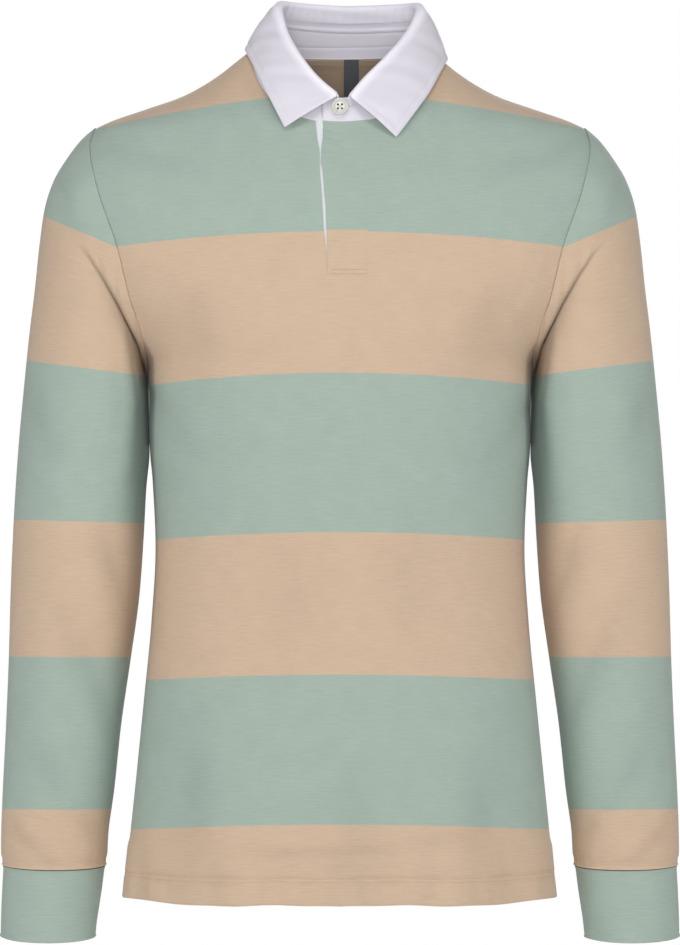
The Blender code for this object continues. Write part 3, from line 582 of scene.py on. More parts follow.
# The slot's left edge as it lies: level, across.
SLOT_EDGE = (
    (-196, -11), (-180.6, -11.5), (-156.5, -14), (-123, -16), (-106.6, -17.3), (-90.3, -17.6),
    (-77.4, -19.8), (-60, -21.6),
)
slot_edge = smooth_curve(*metres(SLOT_EDGE).T)
FRONT_FOLDS = (
    ((150, -190, 0, 16), (128, -232, 2.2, 18), (118, -300, 0, 20)),
    ((-150, -185, 0, 16), (-130, -226, 2.2, 18), (-112, -300, 0, 20)),
    ((-160, -300, 1.8, 10), (-142, -335, 1.2, 12), (-110, -352, 0, 14)),
    ((160, -310, 1.8, 10), (140, -348, 1.2, 12), (104, -366, 0, 14)),
    ((-105, -688, 0, 6), (-45, -693.5, 2.2, 5), (30, -690.5, 1.8, 5), (102, -686, 0, 6)),
    ((-60, -701, 0, 4), (5, -705, 1.5, 4), (60, -701.5, 0, 4)),
    ((50, -678, 0, 5), (85, -681, 1.3, 5), (130, -676, 0, 6)),
    ((-136, -560, 0, 18), (-128, -640, 2.8, 17), (-132, -730, 1.8, 20)),
    ((128, -590, 0, 18), (124, -660, 2.6, 17), (130, -735, 1.8, 20)),
    ((-60, -400, 0, 22), (-40, -470, 1.6, 24), (-50, -560, 0, 24)),
    ((75, -380, 0, 22), (62, -450, 1.8, 24), (70, -540, 0, 24)),
    ((20, -600, 0, 20), (12, -660, 1.8, 22), (18, -730, 1.2, 24)),
    ((-198, -82, 1.2, 7), (-150, -98, 1.4, 12), (-95, -108, 0, 16)),
    ((198, -82, 1.2, 7), (152, -100, 1.4, 12), (100, -112, 0, 16)),
)


def cut_slot(net):
    """Cuts the net along the slot's three straight edges, takes out what is between, and
    moves the left edge to where it lies."""
    slant = (SLOT_LEFT_TOP - SLOT_LEFT_BOTTOM) / (-NECK_DROP["front"] - SLOT_BOTTOM)
    edges = (
        (Vector((SLOT_RIGHT, 0, 0)), Vector((-1, 0, 0))),
        (Vector((0, 0, SLOT_BOTTOM)), Vector((0, 0, 1))),
        (Vector((SLOT_LEFT_BOTTOM, 0, SLOT_BOTTOM)), Vector((1, 0, -slant)).normalized()),
    )
    for place, inward in edges:
        near = []
        for face in net.faces:
            middle = face.calc_center_median()
            if abs(middle.x) < 0.04 and middle.z > SLOT_BOTTOM - 0.02:
                near.append(face)
        geometry = {item for face in near for item in (*face.verts, *face.edges)}
        bmesh.ops.bisect_plane(
            net, geom=[*near, *geometry], dist=1e-6, plane_co=place, plane_no=inward
        )
    inside = [
        face
        for face in net.faces
        if all((face.calc_center_median() - place).dot(inward) > 0 for place, inward in edges)
    ]
    bmesh.ops.delete(net, geom=inside, context="FACES")
    for vert in net.verts:
        x, y, z = vert.co
        if SLOT_BOTTOM - 1e-5 < z < 0 and x < 0:
            straight = SLOT_LEFT_BOTTOM + slant * (z - SLOT_BOTTOM)
            shift = (float(slot_edge(z)) - straight) * float(bell((x - straight) / 0.008))
            vert.co.x = x + shift
            vert.co.y = y + float(depth_at(x, z, "front") - depth_at(x + shift, z, "front"))


front_form, front_net = panel_net("front", FRONT_FOLDS)
cut_slot(front_net)
front = sewn_piece("front_panel", front_net, striped_jersey, JERSEY, "striped_jersey", "front")
hem_stitches("front_hem_stitching", front_form)

# ---------------------------------------------------------------- Under placket
# The under placket is a strip of the collar's white twill, sewn to the slot's edge on
# the wearer's right. It lies beneath the top placket and shows as a narrow white strip.
PLACKET_UNDER_REACH = 0.010
UNDER_SUNK = 0.00105
UNDER_PUFF = 0.00080  # between the edges it bulges out by this much
TWILL = 0.0010


def twill_group():
    """Steep diagonal ribs of a woven twill over its fine threads."""
    group, given, made = pattern_group("twill_weave", Rib=0.0011)
    axes = set_node(group, "SeparateXYZ", {0: given["Place"]}).outputs
    slanted = sums(group, "MULTIPLY_ADD", axes[0], 1.7, axes[1])
    ribs = sums(group, "DIVIDE", slanted, given["Rib"])
    wave = sums(group, "SINE", sums(group, "MULTIPLY", ribs, 2 * math.pi))
    fine = noise(group, given["Place"], 1300.0, 2.0)
    cloudy = noise(group, given["Place"], 60.0, 3.0)
    group.links.new(sums(group, "MULTIPLY_ADD", fine, 1.2, wave), made["Height"])
    shade = sums(group, "MULTIPLY_ADD", wave, 0.20, fine)
    shade = sums(group, "MULTIPLY_ADD", cloudy, 0.5, shade)
    group.links.new(sums(group, "SUBTRACT", shade, 0.75), made["Shade"])
    return group


twill_weave = twill_group()
# The under placket's copy of the twill is painted lighter than the collar's: painted light on the
# narrow strip.
collar_twill, under_twill_painted_light = [
    textile(
        name, twill_weave, (colour,), 0.16, (0.3, 0.00012),
        {"Roughness": 0.85, "Specular IOR Level": 0.2, "Sheen Weight": 0.08},
    )
    for name, colour in (
        ("collar_twill", (0.700, 0.675, 0.745)), ("under_placket_twill", (0.72, 0.73, 0.77)),
    )
]


def neck_level_at(across):
    share = np.clip(np.abs(across) / NECK_HALF, 0, 1)
    return -NECK_DROP["front"] * (1 - share**NECK_ROUNDNESS) ** (1 / NECK_ROUNDNESS)


def placket_form(left_edge, right, foot, moved_in, rows, columns):
    """A strip laid on the front's own form, moved out or in; also its flat places."""
    up = np.linspace(0, 1, rows)[:, None]
    share = np.linspace(0, 1, columns)[None, :]
    left = left_edge(foot + (-NECK_DROP["front"] - foot) * up)
    across = left + (right - left) * share
    level = foot + (neck_level_at(across) - foot) * up
    grid = on_body(across, level, "front")
    grid[..., 1] += moved_in
    return grid, np.stack(np.broadcast_arrays(across, level), -1)


under_form, under_flat = placket_form(
    lambda level: slot_edge(level) - 0.0015, PLACKET_UNDER_REACH, SLOT_BOTTOM, UNDER_SUNK, 60, 40
)
from_edge = under_flat[..., 0] - slot_edge(under_flat[..., 1])
under_form[..., 1] -= UNDER_PUFF * soft_step((from_edge - 0.0001) / 0.0012)
under_net = cloth_net(under_form, under_flat)
under_placket = sewn_piece(
    "under_placket", under_net, under_twill_painted_light, TWILL, "collar_twill", "placket_under"
)

# ------------------------------------------------------------------ Top placket
# The top placket is jersey in the body's own stripes, folded double over the hidden
# buttons. Its free edge is a soft fold, and stitches hold its right edge and its foot.
PLACKET_CLOTH = 0.0011
PLACKET_SEWN_PROUD, PLACKET_PROUD = 0.00025, 0.0010
PLACKET_STRIPE_RISE = 0.0013  # its stripes sit this much higher than the body's
# The free edge: level, across.
PLACKET_OPEN = (
    (-196, -10.7), (-180.6, -11), (-164.3, -11.5), (-139.3, -12.3), (-123, -13.7), (-106.6, -15.1),
    (-98.9, -16.3), (-86.9, -16), (-77.4, -14.8), (-60, -14.8),
)
PLACKET_CREASES = (
    ((-15, -68, 0.9, 1.8), (-4, -73.5, 0.8, 2.2), (9, -71.5, 0, 2)),
    ((-14.5, -72.5, 0.8, 1.8), (-5, -79, 0.6, 2.4), (4, -80, 0, 2)),
    ((-15.8, -86, 0.5, 2), (-7, -89.5, 0.4, 2.6), (1, -88, 0, 2)),
)
placket_open = smooth_curve(*metres(PLACKET_OPEN).T)
top_form, top_flat = placket_form(placket_open, PLACKET_RIGHT, PLACKET_FOOT, 0.0, 110, 38)
from_fold = top_flat[..., 0] - placket_open(top_flat[..., 1])
from_sewn = PLACKET_RIGHT - top_flat[..., 0]
from_foot = top_flat[..., 1] - PLACKET_FOOT
lift = soft_step(np.minimum(from_sewn / 0.014, (from_foot + 0.004) / 0.020))
lift = PLACKET_SEWN_PROUD + (PLACKET_PROUD - PLACKET_SEWN_PROUD) * lift
sunk = 0.0005 * bell(from_fold / 0.0007) - lift
sunk = sunk + 0.00010 * bell(np.minimum(from_sewn, from_foot) / 0.0012)
sunk = sunk + 0.00008 * bell((from_sewn - 0.0022) / 0.0009)
sunk = sunk + sum(crease(top_form, path) for path in PLACKET_CREASES)
top_form = top_form - grid_normals(top_form) * sunk[..., None]
top_band = stripe_side(
    top_form[..., 0], top_form[..., 2] - PLACKET_STRIPE_RISE, BODY_STRIPES, -1
)
top_net = cloth_net(top_form, top_flat + (0, PLACKET_STRIPE_RISE), top_band)
top_placket = sewn_piece(
    "top_placket", top_net, striped_jersey, PLACKET_CLOTH, "striped_jersey", "placket_top"
)
foot_row = int(np.argmin(np.abs(top_flat[:, 0, 1] - PLACKET_FOOT - 0.0012)))
placket_thread = thread_material("placket_thread", (0.36, 0.25, 0.17))
for number, row in ((1, foot_row), (2, foot_row + 3)):
    stitches(
        f"placket_foot_stitching_{number}", top_form[row, 3:], grid_normals(top_form)[row, 3:],
        placket_thread, "striped_jersey", pitch=0.0029, size=(0.0019, 0.00042, 0.00040),
    )

# ---------------------------------------------------------------------- Sleeves
# Each sleeve is one piece of the striped jersey, closed under the arm and set into the
# armhole. It hangs with a deep fold that runs down from its front into the armpit, and
# its end is gathered a little onto the cuff.
SLEEVE_END_DIP = 0.0045
CUFF_JOIN = -0.7032
SLEEVE_GIRTH_PER_TURN = 0.055
AROUND_HALF = 66  # steps of the net round half the sleeve
# How the knit's rows slant towards the armhole: levels, and the slant at each.
SLANT_LEVELS, SLANTS = (-0.52, -0.41, -0.28, -0.17), (0.0, 0.0062, 0.0315, 0.1075)
SLANT_REACH = 0.25
# Its rings, from the armhole down: where its outermost and innermost points are, across
# and level, its half depth, and how far it still bends to the armhole.
SLEEVE = metres((
    (210.5, -68.5, 166, -272, 76, 1), (222, -78.5, 166.2, -275, 74.8, 0.86),
    (235.6, -96.3, 166.2, -278.5, 73, 0.64), (246, -114, 166.2, -282.5, 70.8, 0.42),
    (253.7, -137.6, 166.2, -288, 68, 0.24), (258.2, -169, 166.2, -296, 65, 0.11),
    (262.3, -208, 166, -308.5, 62.2, 0.03), (267, -246.8, 165.6, -325, 60, 0),
    (271.8, -294, 165.2, -348, 58.2, 0), (276.5, -345.7, 168, -379, 56.5, 0),
    (280.4, -406, 170.2, -420, 54.8, 0), (283, -466, 173.7, -469, 52.5, 0),
    (284.7, -526, 181.5, -526, 48.5, 0), (287, -582, 189.6, -582, 44, 0),
    (289.8, -638, 195.6, -638, 39, 0), (291.2, -675, 200.6, -675, 35, 0),
    (291.4, -693, 201.6, -693, 32.8, 0), (290.3, -703, 202.6, -703, 31.2, 0),
), plain=5)
SLEEVE_STRIPES = metres((
    (-254, -146.5, 250, 1), (-302.8, -271.3, 250, 1), (-412.7, -406.5, 250, 1),
    (-523.7, -523.7, 250, 1), (-655, -655, 250, 1),
), plain=3)
# The folds are those of the wearer's left sleeve.
ARMPIT_CREASE = (
    (229, -164, 0, 10), (217, -178, 2, 11), (203.8, -197.8, 4.5, 12), (190.1, -221.9, 7, 12),
    (180, -243, 8, 10), (173.7, -257.1, 7.5, 8), (169, -276, 5, 6), (166.5, -300, 2, 5),
)
# Painted shade where deep folds keep the light out: across, level, thousandths of the light lost,
# width.
PAINTED_FOLD_SHADES = (
    ((226, -167, 0, 1.1), (216, -179, 280, 1.3), (203.8, -197.8, 500, 1.5),
     (190.1, -221.9, 750, 1.6), (180, -243, 850, 1.7), (173.7, -257.1, 880, 1.8),
     (167.5, -283, 880, 2.2), (166, -340, 800, 2.6)),
    ((214, -190, 0, 5), (194.5, -221.9, 160, 6), (180, -252, 260, 7), (170, -286, 200, 6)),
    ((185.5, -234, 0, 1.5), (183.5, -260, 280, 1.8), (179.7, -306, 400, 2.6),
     (180.5, -356, 220, 5), (185, -420, 0, 8)),
    ((182, -235, 0, 4), (173.5, -262, 200, 6), (169, -300, 340, 9), (169, -360, 360, 10),
     (173, -440, 300, 12), (183, -530, 260, 12), (196, -640, 260, 10), (201, -698, 120, 8)),
)
SLEEVE_FOLDS = (
    ((185.5, -233, 0, 4), (183, -260, 4.8, 5), (179.7, -306, 6.4, 6), (181, -360, 3.2, 9),
     (185, -420, 0, 12)),
    ((215, -400, 0, 8), (206, -435, 3.5, 9), (193, -485, 4.2, 9), (188, -530, 0, 10)),
    ((242, -450, 0, 10), (228, -515, 2.6, 10), (208, -575, 2.6, 9), (200, -610, 0, 9)),
    ((260, -570, 0, 10), (248, -620, 2.2, 9), (230, -660, 0, 8)),
    ((286, -660, 0, 6), (270, -676, 2.2, 6), (248, -696, 1.3, 6)),
    ((238, -642, 0, 6), (224, -665, 2.2, 6), (212, -685, 0, 6)),
    ((270, -270, 0, 12), (252, -315, 2.2, 12), (235, -365, 0, 14)),
    ((235, -118, 1.3, 7), (224, -150, 1.6, 8), (212, -176, 0, 9)),
)


def sleeve_rows(count):
    """The sleeve's table read at even distances down its middle, closer at both ends."""
    table = read_table(SLEEVE)
    lengths = lengths_along((table[:, :2] + table[:, 2:4]) / 2)
    ends = np.array((0, 0.0006, 0.0013, 0.0022, 0.0036, 0.0060))
    near_arm = np.linspace(0.008, 0.260, count)
    below_arm = np.linspace(0.263, lengths[-1] - 0.009, count // 2 + 10)
    at = np.concatenate([ends, near_arm, below_arm, lengths[-1] - ends[::-1]])
    return at, read_at(at, lengths, table)


def ring(outer, inner, depth, turns, dip):
    """A ring through an outermost and an innermost point; turns run from inner to front."""
    middle = (np.array(outer) + np.array(inner)) / 2
    reach = (np.array(outer) - np.array(inner)) / 2
    across = middle[0] - np.cos(turns) * reach[0]
    level = middle[1] - np.cos(turns) * reach[1] - np.sin(turns) * dip
    return np.stack([across, -np.sin(turns) * depth, level], 1)


def tube_normals(grid):
    open_ring = grid[:, :-1]
    across = np.roll(open_ring, -1, axis=1) - np.roll(open_ring, 1, axis=1)
    across = np.concatenate([across, across[:, :1]], axis=1)
    return -unit(np.cross(across, np.gradient(grid, axis=0)))


def tube(name, grid, sunk, flat, band, shade, thickness, slot, node, pressed_in=0.0):
    """A piece closed into a tube: its last column lies on its first, and is joined to it."""
    shaped = grid - tube_normals(grid) * sunk[..., None]
    shaped[..., 1] -= pressed_in
    shaped[:, -1] = shaped[:, 0]
    net = cloth_net(shaped[::-1], flat[::-1], band[::-1], shade[::-1])
    bmesh.ops.remove_doubles(net, verts=net.verts, dist=1e-6)
    return shaped, sewn_piece(name, net, striped_jersey, thickness, slot, node)


def armhole_line(shares):
    """The left armhole's seam, up the front, over the shoulder and down the back."""
    front_edge, back_edge = [
        at_shares(half_panel(face)[len(lower_levels) - 1 :, -1], shares) for face in SIDE_OF
    ]
    line = np.concatenate([front_edge, back_edge[-2::-1]])
    line[0, 1] = line[len(shares) - 1, 1] = line[-1, 1] = 0
    return line


def sleeve(side, name):
    even = np.linspace(0, 2 * math.pi, 2 * AROUND_HALF + 1)
    turns = even - 0.55 * np.sin(even)  # closer together at the underarm
    armhole = armhole_line(turns[: AROUND_HALF + 1] / math.pi) * (side, 1, 1)
    down, rows = sleeve_rows(150)
    rings = []
    for outer_x, outer_z, inner_x, inner_z, depth, _ in rows:
        dip = SLEEVE_END_DIP * np.clip(1 - (outer_z - CUFF_JOIN) / 0.2, 0, 1)
        rings.append(ring((side * outer_x, outer_z), (side * inner_x, inner_z), depth, turns, dip))
    grid = np.array(rings)
    grid = grid + (armhole - (side * SEAM_GAP, 0, 0) - grid[0]) * rows[:, 5][:, None, None]
    if side > 0:
        grid = grid[:, ::-1]
    from_end = (down[-1] - down)[:, None]
    on_left = grid * (side, 1, 1)
    facing = np.clip(np.abs(grid[..., 1]) / 0.03, 0, 1)
    folded = sum(crease(on_left, path) for path in SLEEVE_FOLDS) * facing
    around_at = turns[None, :] * SLEEVE_GIRTH_PER_TURN
    pucker = np.sin(around_at * 900 + 2 * np.sin(around_at * 70)) + np.sin(around_at * 410)
    sunk = folded + 0.00016 * pucker * bell((from_end - 0.006) / 0.006)
    sunk = sunk + 0.0007 * bell(from_end / 0.0010) - 0.0010 * bell((from_end - 0.0045) / 0.0035)
    sunk = sunk + 0.0003 * bell((from_end - 0.0042) / 0.0010)
    slant = np.interp(grid[..., 2], SLANT_LEVELS, SLANTS)
    course = grid[..., 2] + slant * (1 - np.abs(grid[..., 0]) / SLANT_REACH)
    flat = np.stack(np.broadcast_arrays(around_at, course), -1)
    band = stripe_side(grid[..., 0], grid[..., 2], SLEEVE_STRIPES, 1)
    # Painted shade in the sleeve's folds and along its deep creases by the armpit and down its
    # inner side.
    light = 1 - np.clip(FOLD_LIGHT_LOSS * folded, 0, FOLD_LIGHT_MOST)
    for path in PAINTED_FOLD_SHADES:
        light = light * (1 - np.clip(crease(on_left, path, sharp=1.6), 0, 0.9) * facing)
    normals = tube_normals(grid)
    pressed_in = np.sign(grid[..., 1]) * facing * crease(on_left, ARMPIT_CREASE, 0.22, 1.0)
    shaped, piece = tube(
        f"sleeve_cloth_{name}", grid, sunk, flat, band, 1 - light, JERSEY, "striped_jersey",
        f"sleeve_{name}", pressed_in,
    )
    row = int(np.argmin(np.abs(from_end[:, 0] - 0.0038)))
    stitches(
        f"sleeve_end_stitching_{name}", shaped[row], normals[row], beige_thread, "striped_jersey"
    )


sleeve(1, "left")
sleeve(-1, "right")

# ------------------------------------------------------------------------ Cuffs
# The cuffs are plain turned bands of sage jersey, folded double at the bottom and sewn
# to the sleeve's end under a row of edge stitches.
CUFF_CLOTH = 0.0014
CUFF_GIRTH_PER_TURN = 0.036
# Its rings: level, outermost and innermost point across, half depth, dip at the front.
CUFF = metres((
    (-703.6, 288.8, 204.2, 29.6, 4.5), (-724, 289.9, 207, 29.2, 5),
    (-744, 290.8, 209.9, 28.7, 5.5), (-764.5, 291.3, 212.5, 28.3, 6),
))


def cuff(side, name):
    turns = np.linspace(0, 2 * math.pi, 81)
    length = CUFF[0, 0] - CUFF[-1, 0]
    down = np.concatenate([
        (0, 0.0006, 0.0013, 0.0024), np.linspace(0.004, length - 0.004, 16),
        length - np.array((0.0026, 0.0016, 0.0009, 0.0004, 0)),
    ])
    curves = [smooth_curve(-CUFF[:, 0], column) for column in CUFF.T[1:]]
    grid = []
    for level in CUFF[0, 0] - down:
        outer_x, inner_x, depth, dip = [float(curve(-level)) for curve in curves]
        grid.append(ring((side * outer_x, level), (side * inner_x, level), depth, turns, dip))
    grid = np.array(grid)
    if side > 0:
        grid = grid[:, ::-1]
    down = down[:, None]
    around_at = turns[None, :] * CUFF_GIRTH_PER_TURN
    sunk = 0.0006 * bell(down / 0.0018) + 0.0009 * bell((length - down) / 0.0010)
    sunk = sunk + 0.0003 * np.sin(around_at * 130 + 1) * np.sin(down * 70)
    flat = np.stack(np.broadcast_arrays(around_at, -down), -1)
    all_sage = np.full(grid.shape[:2], 0.01)
    piece = tube(
        f"cuff_band_{name}", grid, sunk, flat, all_sage, 0 * all_sage, CUFF_CLOTH, "cuff_jersey",
        f"cuff_{name}",
    )[1]


cuff(1, "left")
cuff(-1, "right")

# ----------------------------------------------------------------- Collar stand
# The stand is a curved band of the white twill, sewn to the neckline. Its front ends
# run past each other: the buttonhole end lies on top of the button end.
COLLAR_CLOTH = 0.0014
COLLAR_STEPS = 180
STAND_TOP_END, STAND_UNDER_END = -0.0155, 0.0130
STAND_TOP_LAP = 0.0015  # the band runs up this far behind the leaf
STAND_SEAM_LAP, STAND_SEAM_OUT = 0.0007, 0.00035
TUCK_DEPTH = 0.00208
UNDER_STEPS, OVER_STEPS = 14, 16  # points past the collar's open ends
PAINTED_LIGHT_INSIDE = 0.30  # painted light: the twill is painted this much lighter inside the collar, standing in for light that comes through it
# Round the neck from the front centre over the wearer's right side: the fold's point
# (across, out, level), the leaf's edge below it, and how far the leaf's seam is under.
COLLAR = metres((
    (-2.6, -69, -40, -47.3, -76.8, -68, 4), (-18, -62.5, -27, -57, -69, -49, 6),
    (-34.4, -49, -6.5, -66.8, -53.5, -29.5, 9), (-46.4, -27, 16, -75.2, -32, -12.5, 11.5),
    (-51.2, -2, 36, -81.2, -2, -1, 13), (-47, 27, 40, -76, 40, -3, 13.5),
    (-28, 50, 38.5, -45.5, 69, -9, 13.5), (8.6, 60, 37, 5, 81.5, -12, 13.5),
    (45, 50, 38, 58, 69, -12, 13.5), (64, 27, 39, 86, 41, -10, 13.5),
    (67.9, -2, 35, 92, -2, -9, 13), (58, -27, 14.5, 85.5, -36, -21, 11.5),
    (40.4, -49, -7, 75.5, -56, -39, 9), (20.2, -63, -27.5, 62, -70, -58, 6),
    (8.6, -70, -41, 48.2, -79, -76.5, 4),
))


def neck_seam():
    """The neckline all round, from the front centre over the wearer's right side."""
    quarter = np.linspace(0, math.pi / 2, 400)
    front_half, back_half = [
        np.array([on_body(*neck_point(turn, face), face) for turn in quarter]) for face in SIDE_OF
    ]
    half = np.concatenate([front_half, back_half[-2::-1]])
    return np.concatenate([half * (-1, 1, 1), half[-2::-1]])


def seam_below(points, seam):
    """The neck seam's point in the same direction from the neck's middle as each point."""
    bearing, own = [np.unwrap(np.arctan2(-line[:, 0], -line[:, 1])) for line in (seam, points)]
    own = own - 2 * math.pi * round((own[len(own) // 2] - math.pi) / (2 * math.pi))
    return read_at(own, bearing, seam)


def collar_lines():
    """The fold, the seam below it, the edge, and which way the collar rises and faces."""
    table = read_table(COLLAR)
    lengths = lengths_along(table[:, :3])
    ends = np.array((0, 0.0007, 0.0016, 0.0028))
    at = np.concatenate([
        ends, np.linspace(0.0042, lengths[-1] - 0.0042, COLLAR_STEPS), lengths[-1] - ends[::-1]
    ])
    table = read_at(at, lengths, table)
    fold = table[:, :3]
    below = seam_below(fold, neck_seam())
    rise = unit(fold - below)
    outward = unit(np.cross(rise, unit(np.gradient(fold, axis=0))))
    outward *= np.sign((outward[:, :2] * fold[:, :2]).sum(axis=1))[:, None]
    return fold, table[:, 3:6], table[:, 6:], below, rise, outward


def past_ends(line, under, over):
    """A line round the neck, carried on past its open ends in line with the neckline."""
    middle = on_body(0.0, -NECK_DROP["front"], "front")
    shift = (0, *((line[0] + line[-1]) / 2)[1:])
    ends = [on_body(at, neck_level_at(at), "front") - middle + shift for at in (under, over)]
    return np.concatenate([ends[0], line, ends[1]])


fold, collar_edge, rise_by, below, rise, outward = collar_lines()
under = np.linspace(STAND_UNDER_END, fold[0, 0], UNDER_STEPS + 1)[:-1]
over = np.linspace(fold[-1, 0], STAND_TOP_END, OVER_STEPS + 1)[1:]
top = past_ends(fold - rise * rise_by + rise * STAND_TOP_LAP, under, over)
bottom = past_ends(below - rise * STAND_SEAM_LAP + outward * STAND_SEAM_OUT, under, over)
out = np.pad(outward, ((UNDER_STEPS, OVER_STEPS), (0, 0)), mode="edge")
from_under = lengths_along(bottom)
past = np.clip((from_under - (STAND_UNDER_END + 0.003)) / 0.018, 0, 1)
tuck = (TUCK_DEPTH * (1 - past) ** 2)[:, None]
shares = np.concatenate([(0, 0.02, 0.05), np.linspace(0.1, 0.9, 40), (0.95, 0.98, 1.0)])
stand_form = np.array([bottom + (top - bottom) * share - out * tuck for share in shares])
from_end = (from_under[-1] - from_under)[None, :]
from_seam = shares[:, None] * np.linalg.norm(top - bottom, axis=1)[None, :]
from_top = from_seam[-1:] - from_seam
behind = np.clip(stand_form[..., 1] / 0.02, 0, 1)
sunk = 0.0003 * bell(from_seam / 0.0006) + 0.0004 * bell(from_top / 0.0010)
sunk = sunk + 0.0006 * bell(from_end / 0.0009) + 0.00025 * bell((from_end - 0.0034) / 0.0008)
inside = 0.0007 * bell((from_top - 0.0085) / 0.0013) - 0.0003 * bell((from_top - 0.0108) / 0.0009)
sunk = sunk + (inside - 0.0004 * bell((from_seam - 0.0105) / 0.0010)) * behind
stand_flat = np.stack(np.broadcast_arrays(from_under[None, :], from_seam), -1)
# Painted shade in a line along the stand's end, and painted light on its inside behind the neck.
stand_shade = 0.35 * bell(from_end / 0.0007) - PAINTED_LIGHT_INSIDE * behind
stand_form = stand_form - out[None] * sunk[..., None]
stand_net = cloth_net(stand_form[:, ::-1], stand_flat[:, ::-1], None, stand_shade[:, ::-1])
stand = sewn_piece(
    "stand_band", stand_net, collar_twill, COLLAR_CLOTH, "collar_twill", "collar_stand"
)

# ------------------------------------------------------------------ Collar leaf
# The leaf is a turned double piece of the white twill, sewn to the stand's top edge,
# folded over at the roll line, and stitched round about 5 mm inside its free edges.
LEAF_PLIES = 0.0016  # the collar's plies and lining together
COLLAR_ROLL = 0.0027
LEAF_BELLY = 0.0022
LEAF_STITCH_IN = 0.0052

start = fold - rise * rise_by - outward * LEAF_PLIES
centre = fold - rise * COLLAR_ROLL + outward * (COLLAR_ROLL - LEAF_PLIES)
leaf_rows = [start + (centre - outward * COLLAR_ROLL - start) * s for s in (0, 0.25, 0.5, 0.75)]
for turn in np.radians(np.linspace(178, 10, 12)):
    leaf_rows.append(centre + COLLAR_ROLL * (outward * math.cos(turn) + rise * math.sin(turn)))
count_round = len(leaf_rows)
last = leaf_rows[-1]
fall_shares = (0.835, 0.865, 0.893, 0.918, 0.94, 0.96, 0.977, 0.989, 1.0)
for share in np.concatenate([np.linspace(0.05, 0.80, 18), fall_shares]):
    belly = LEAF_BELLY * math.sin(math.pi * share)
    leaf_rows.append(last + (collar_edge - last) * share + outward * belly)
leaf_form = np.array(leaf_rows)


def flat_of(grid):
    """Each point's place on the flat cloth, by lengths along its rows and columns."""
    along = np.linalg.norm(np.diff(grid, axis=1, prepend=grid[:, :1]), axis=2).cumsum(axis=1)
    up = np.linalg.norm(np.diff(grid, axis=0, prepend=grid[:1]), axis=2).cumsum(axis=0)
    return np.stack([along, up], -1)


along_leaf, down_leaf = np.moveaxis(flat_of(leaf_form), -1, 0)
run = along_leaf - along_leaf[:, -1:] / 2
to_edge = down_leaf[-1:] - down_leaf
to_front = np.minimum(along_leaf, along_leaf[:, -1:] - along_leaf)
to_nearest = np.minimum(to_edge, to_front)
on_fall = np.clip((down_leaf - down_leaf[count_round - 1 : count_round]) / 0.006, 0, 1)
sunk = 0.0006 * bell(to_nearest / 0.0008)
sunk = sunk + 0.0006 * bell((to_nearest - LEAF_STITCH_IN) / 0.0010) * on_fall
ripple = np.sin(run * 210 + 9 * down_leaf) + 0.7 * np.sin(run * 337 + 1.3 - 14 * down_leaf)
ripple = ripple + 0.6 * np.sin(run * 91 + 2.1)
sunk = sunk + 0.00030 * ripple * np.clip((to_nearest - 0.003) / 0.004, 0, 1) * on_fall
inner_wave = np.sin(run * 150 + 60 * np.sin(run * 9)) + np.sin(run * 63 + 400 * down_leaf)
inner_wave = inner_wave * np.clip((down_leaf[count_round - 8] - down_leaf) / 0.003, 0, 1)
sunk = sunk + 0.00035 * inner_wave * (1 - on_fall) * np.clip(down_leaf / 0.004, 0, 1)
leaf_normals = grid_normals(leaf_form[:, ::-1])[:, ::-1]
facing = np.sign((leaf_normals[-1] * outward).sum(-1).mean())
leaf_normals = leaf_normals * facing
shaped_leaf = leaf_form - leaf_normals * sunk[..., None]
leaf_flat = np.stack([run, down_leaf], -1)
# Painted light on the leaf's inner part, up to where it falls over.
leaf_net = cloth_net(shaped_leaf, leaf_flat, None, -PAINTED_LIGHT_INSIDE * (1 - on_fall))
if facing < 0:
    bmesh.ops.reverse_faces(leaf_net, faces=leaf_net.faces)
leaf = sewn_piece(
    "collar_leaf", leaf_net, collar_twill, COLLAR_CLOTH, "collar_twill", "collar_fall"
)


def leaf_stitch_line():
    """The line inside the leaf's front and lower edges, from the fold to the fold; each
    row holds a point and the way that the cloth faces there."""
    fall = slice(count_round, None)
    cloth = np.concatenate([shaped_leaf, leaf_normals], axis=2)[fall]
    along, edge = along_leaf[fall], to_edge[fall]
    above = np.arange(len(cloth))[edge.min(axis=1) > LEAF_STITCH_IN]
    sides = [
        [cloth[row, np.argmin(np.abs(away[row] - LEAF_STITCH_IN))] for row in above]
        for away in (along, along[:, -1:] - along)
    ]
    lower = [
        read_at([LEAF_STITCH_IN], edge[::-1, column], cloth[::-1, column])[0]
        for column in np.where(to_front[-6] > LEAF_STITCH_IN)[0]
    ]
    line = np.array(sides[0] + lower + sides[1][::-1])
    return line[:, :3], unit(line[:, 3:])


white_thread = thread_material("white_thread", (0.66, 0.64, 0.71))
stitches("leaf_stitching", *leaf_stitch_line(), white_thread, "collar_twill", pitch=0.0027)

# --------------------------------------------------------- Neck tape and label
# A cotton tape covers the back neck seam inside, and a small dark satin label, left
# bare, is caught under it beside the centre.
TAPE_CLOTH, LABEL_CLOTH = 0.0008, 0.0006
TAPE_WIDTH = 0.0055
TAPE_INSET = 0.0006
TAPE_TURN = math.radians(56)
TAPE_STEPS = 48
TRIM_CLEAR = JERSEY + 0.0009  # a trim's outer face from the back's
LABEL_LEFT, LABEL_RIGHT = 0.0034, 0.0163
LABEL_LENGTH = 0.032
LABEL_OFF_TAPE = 0.0014


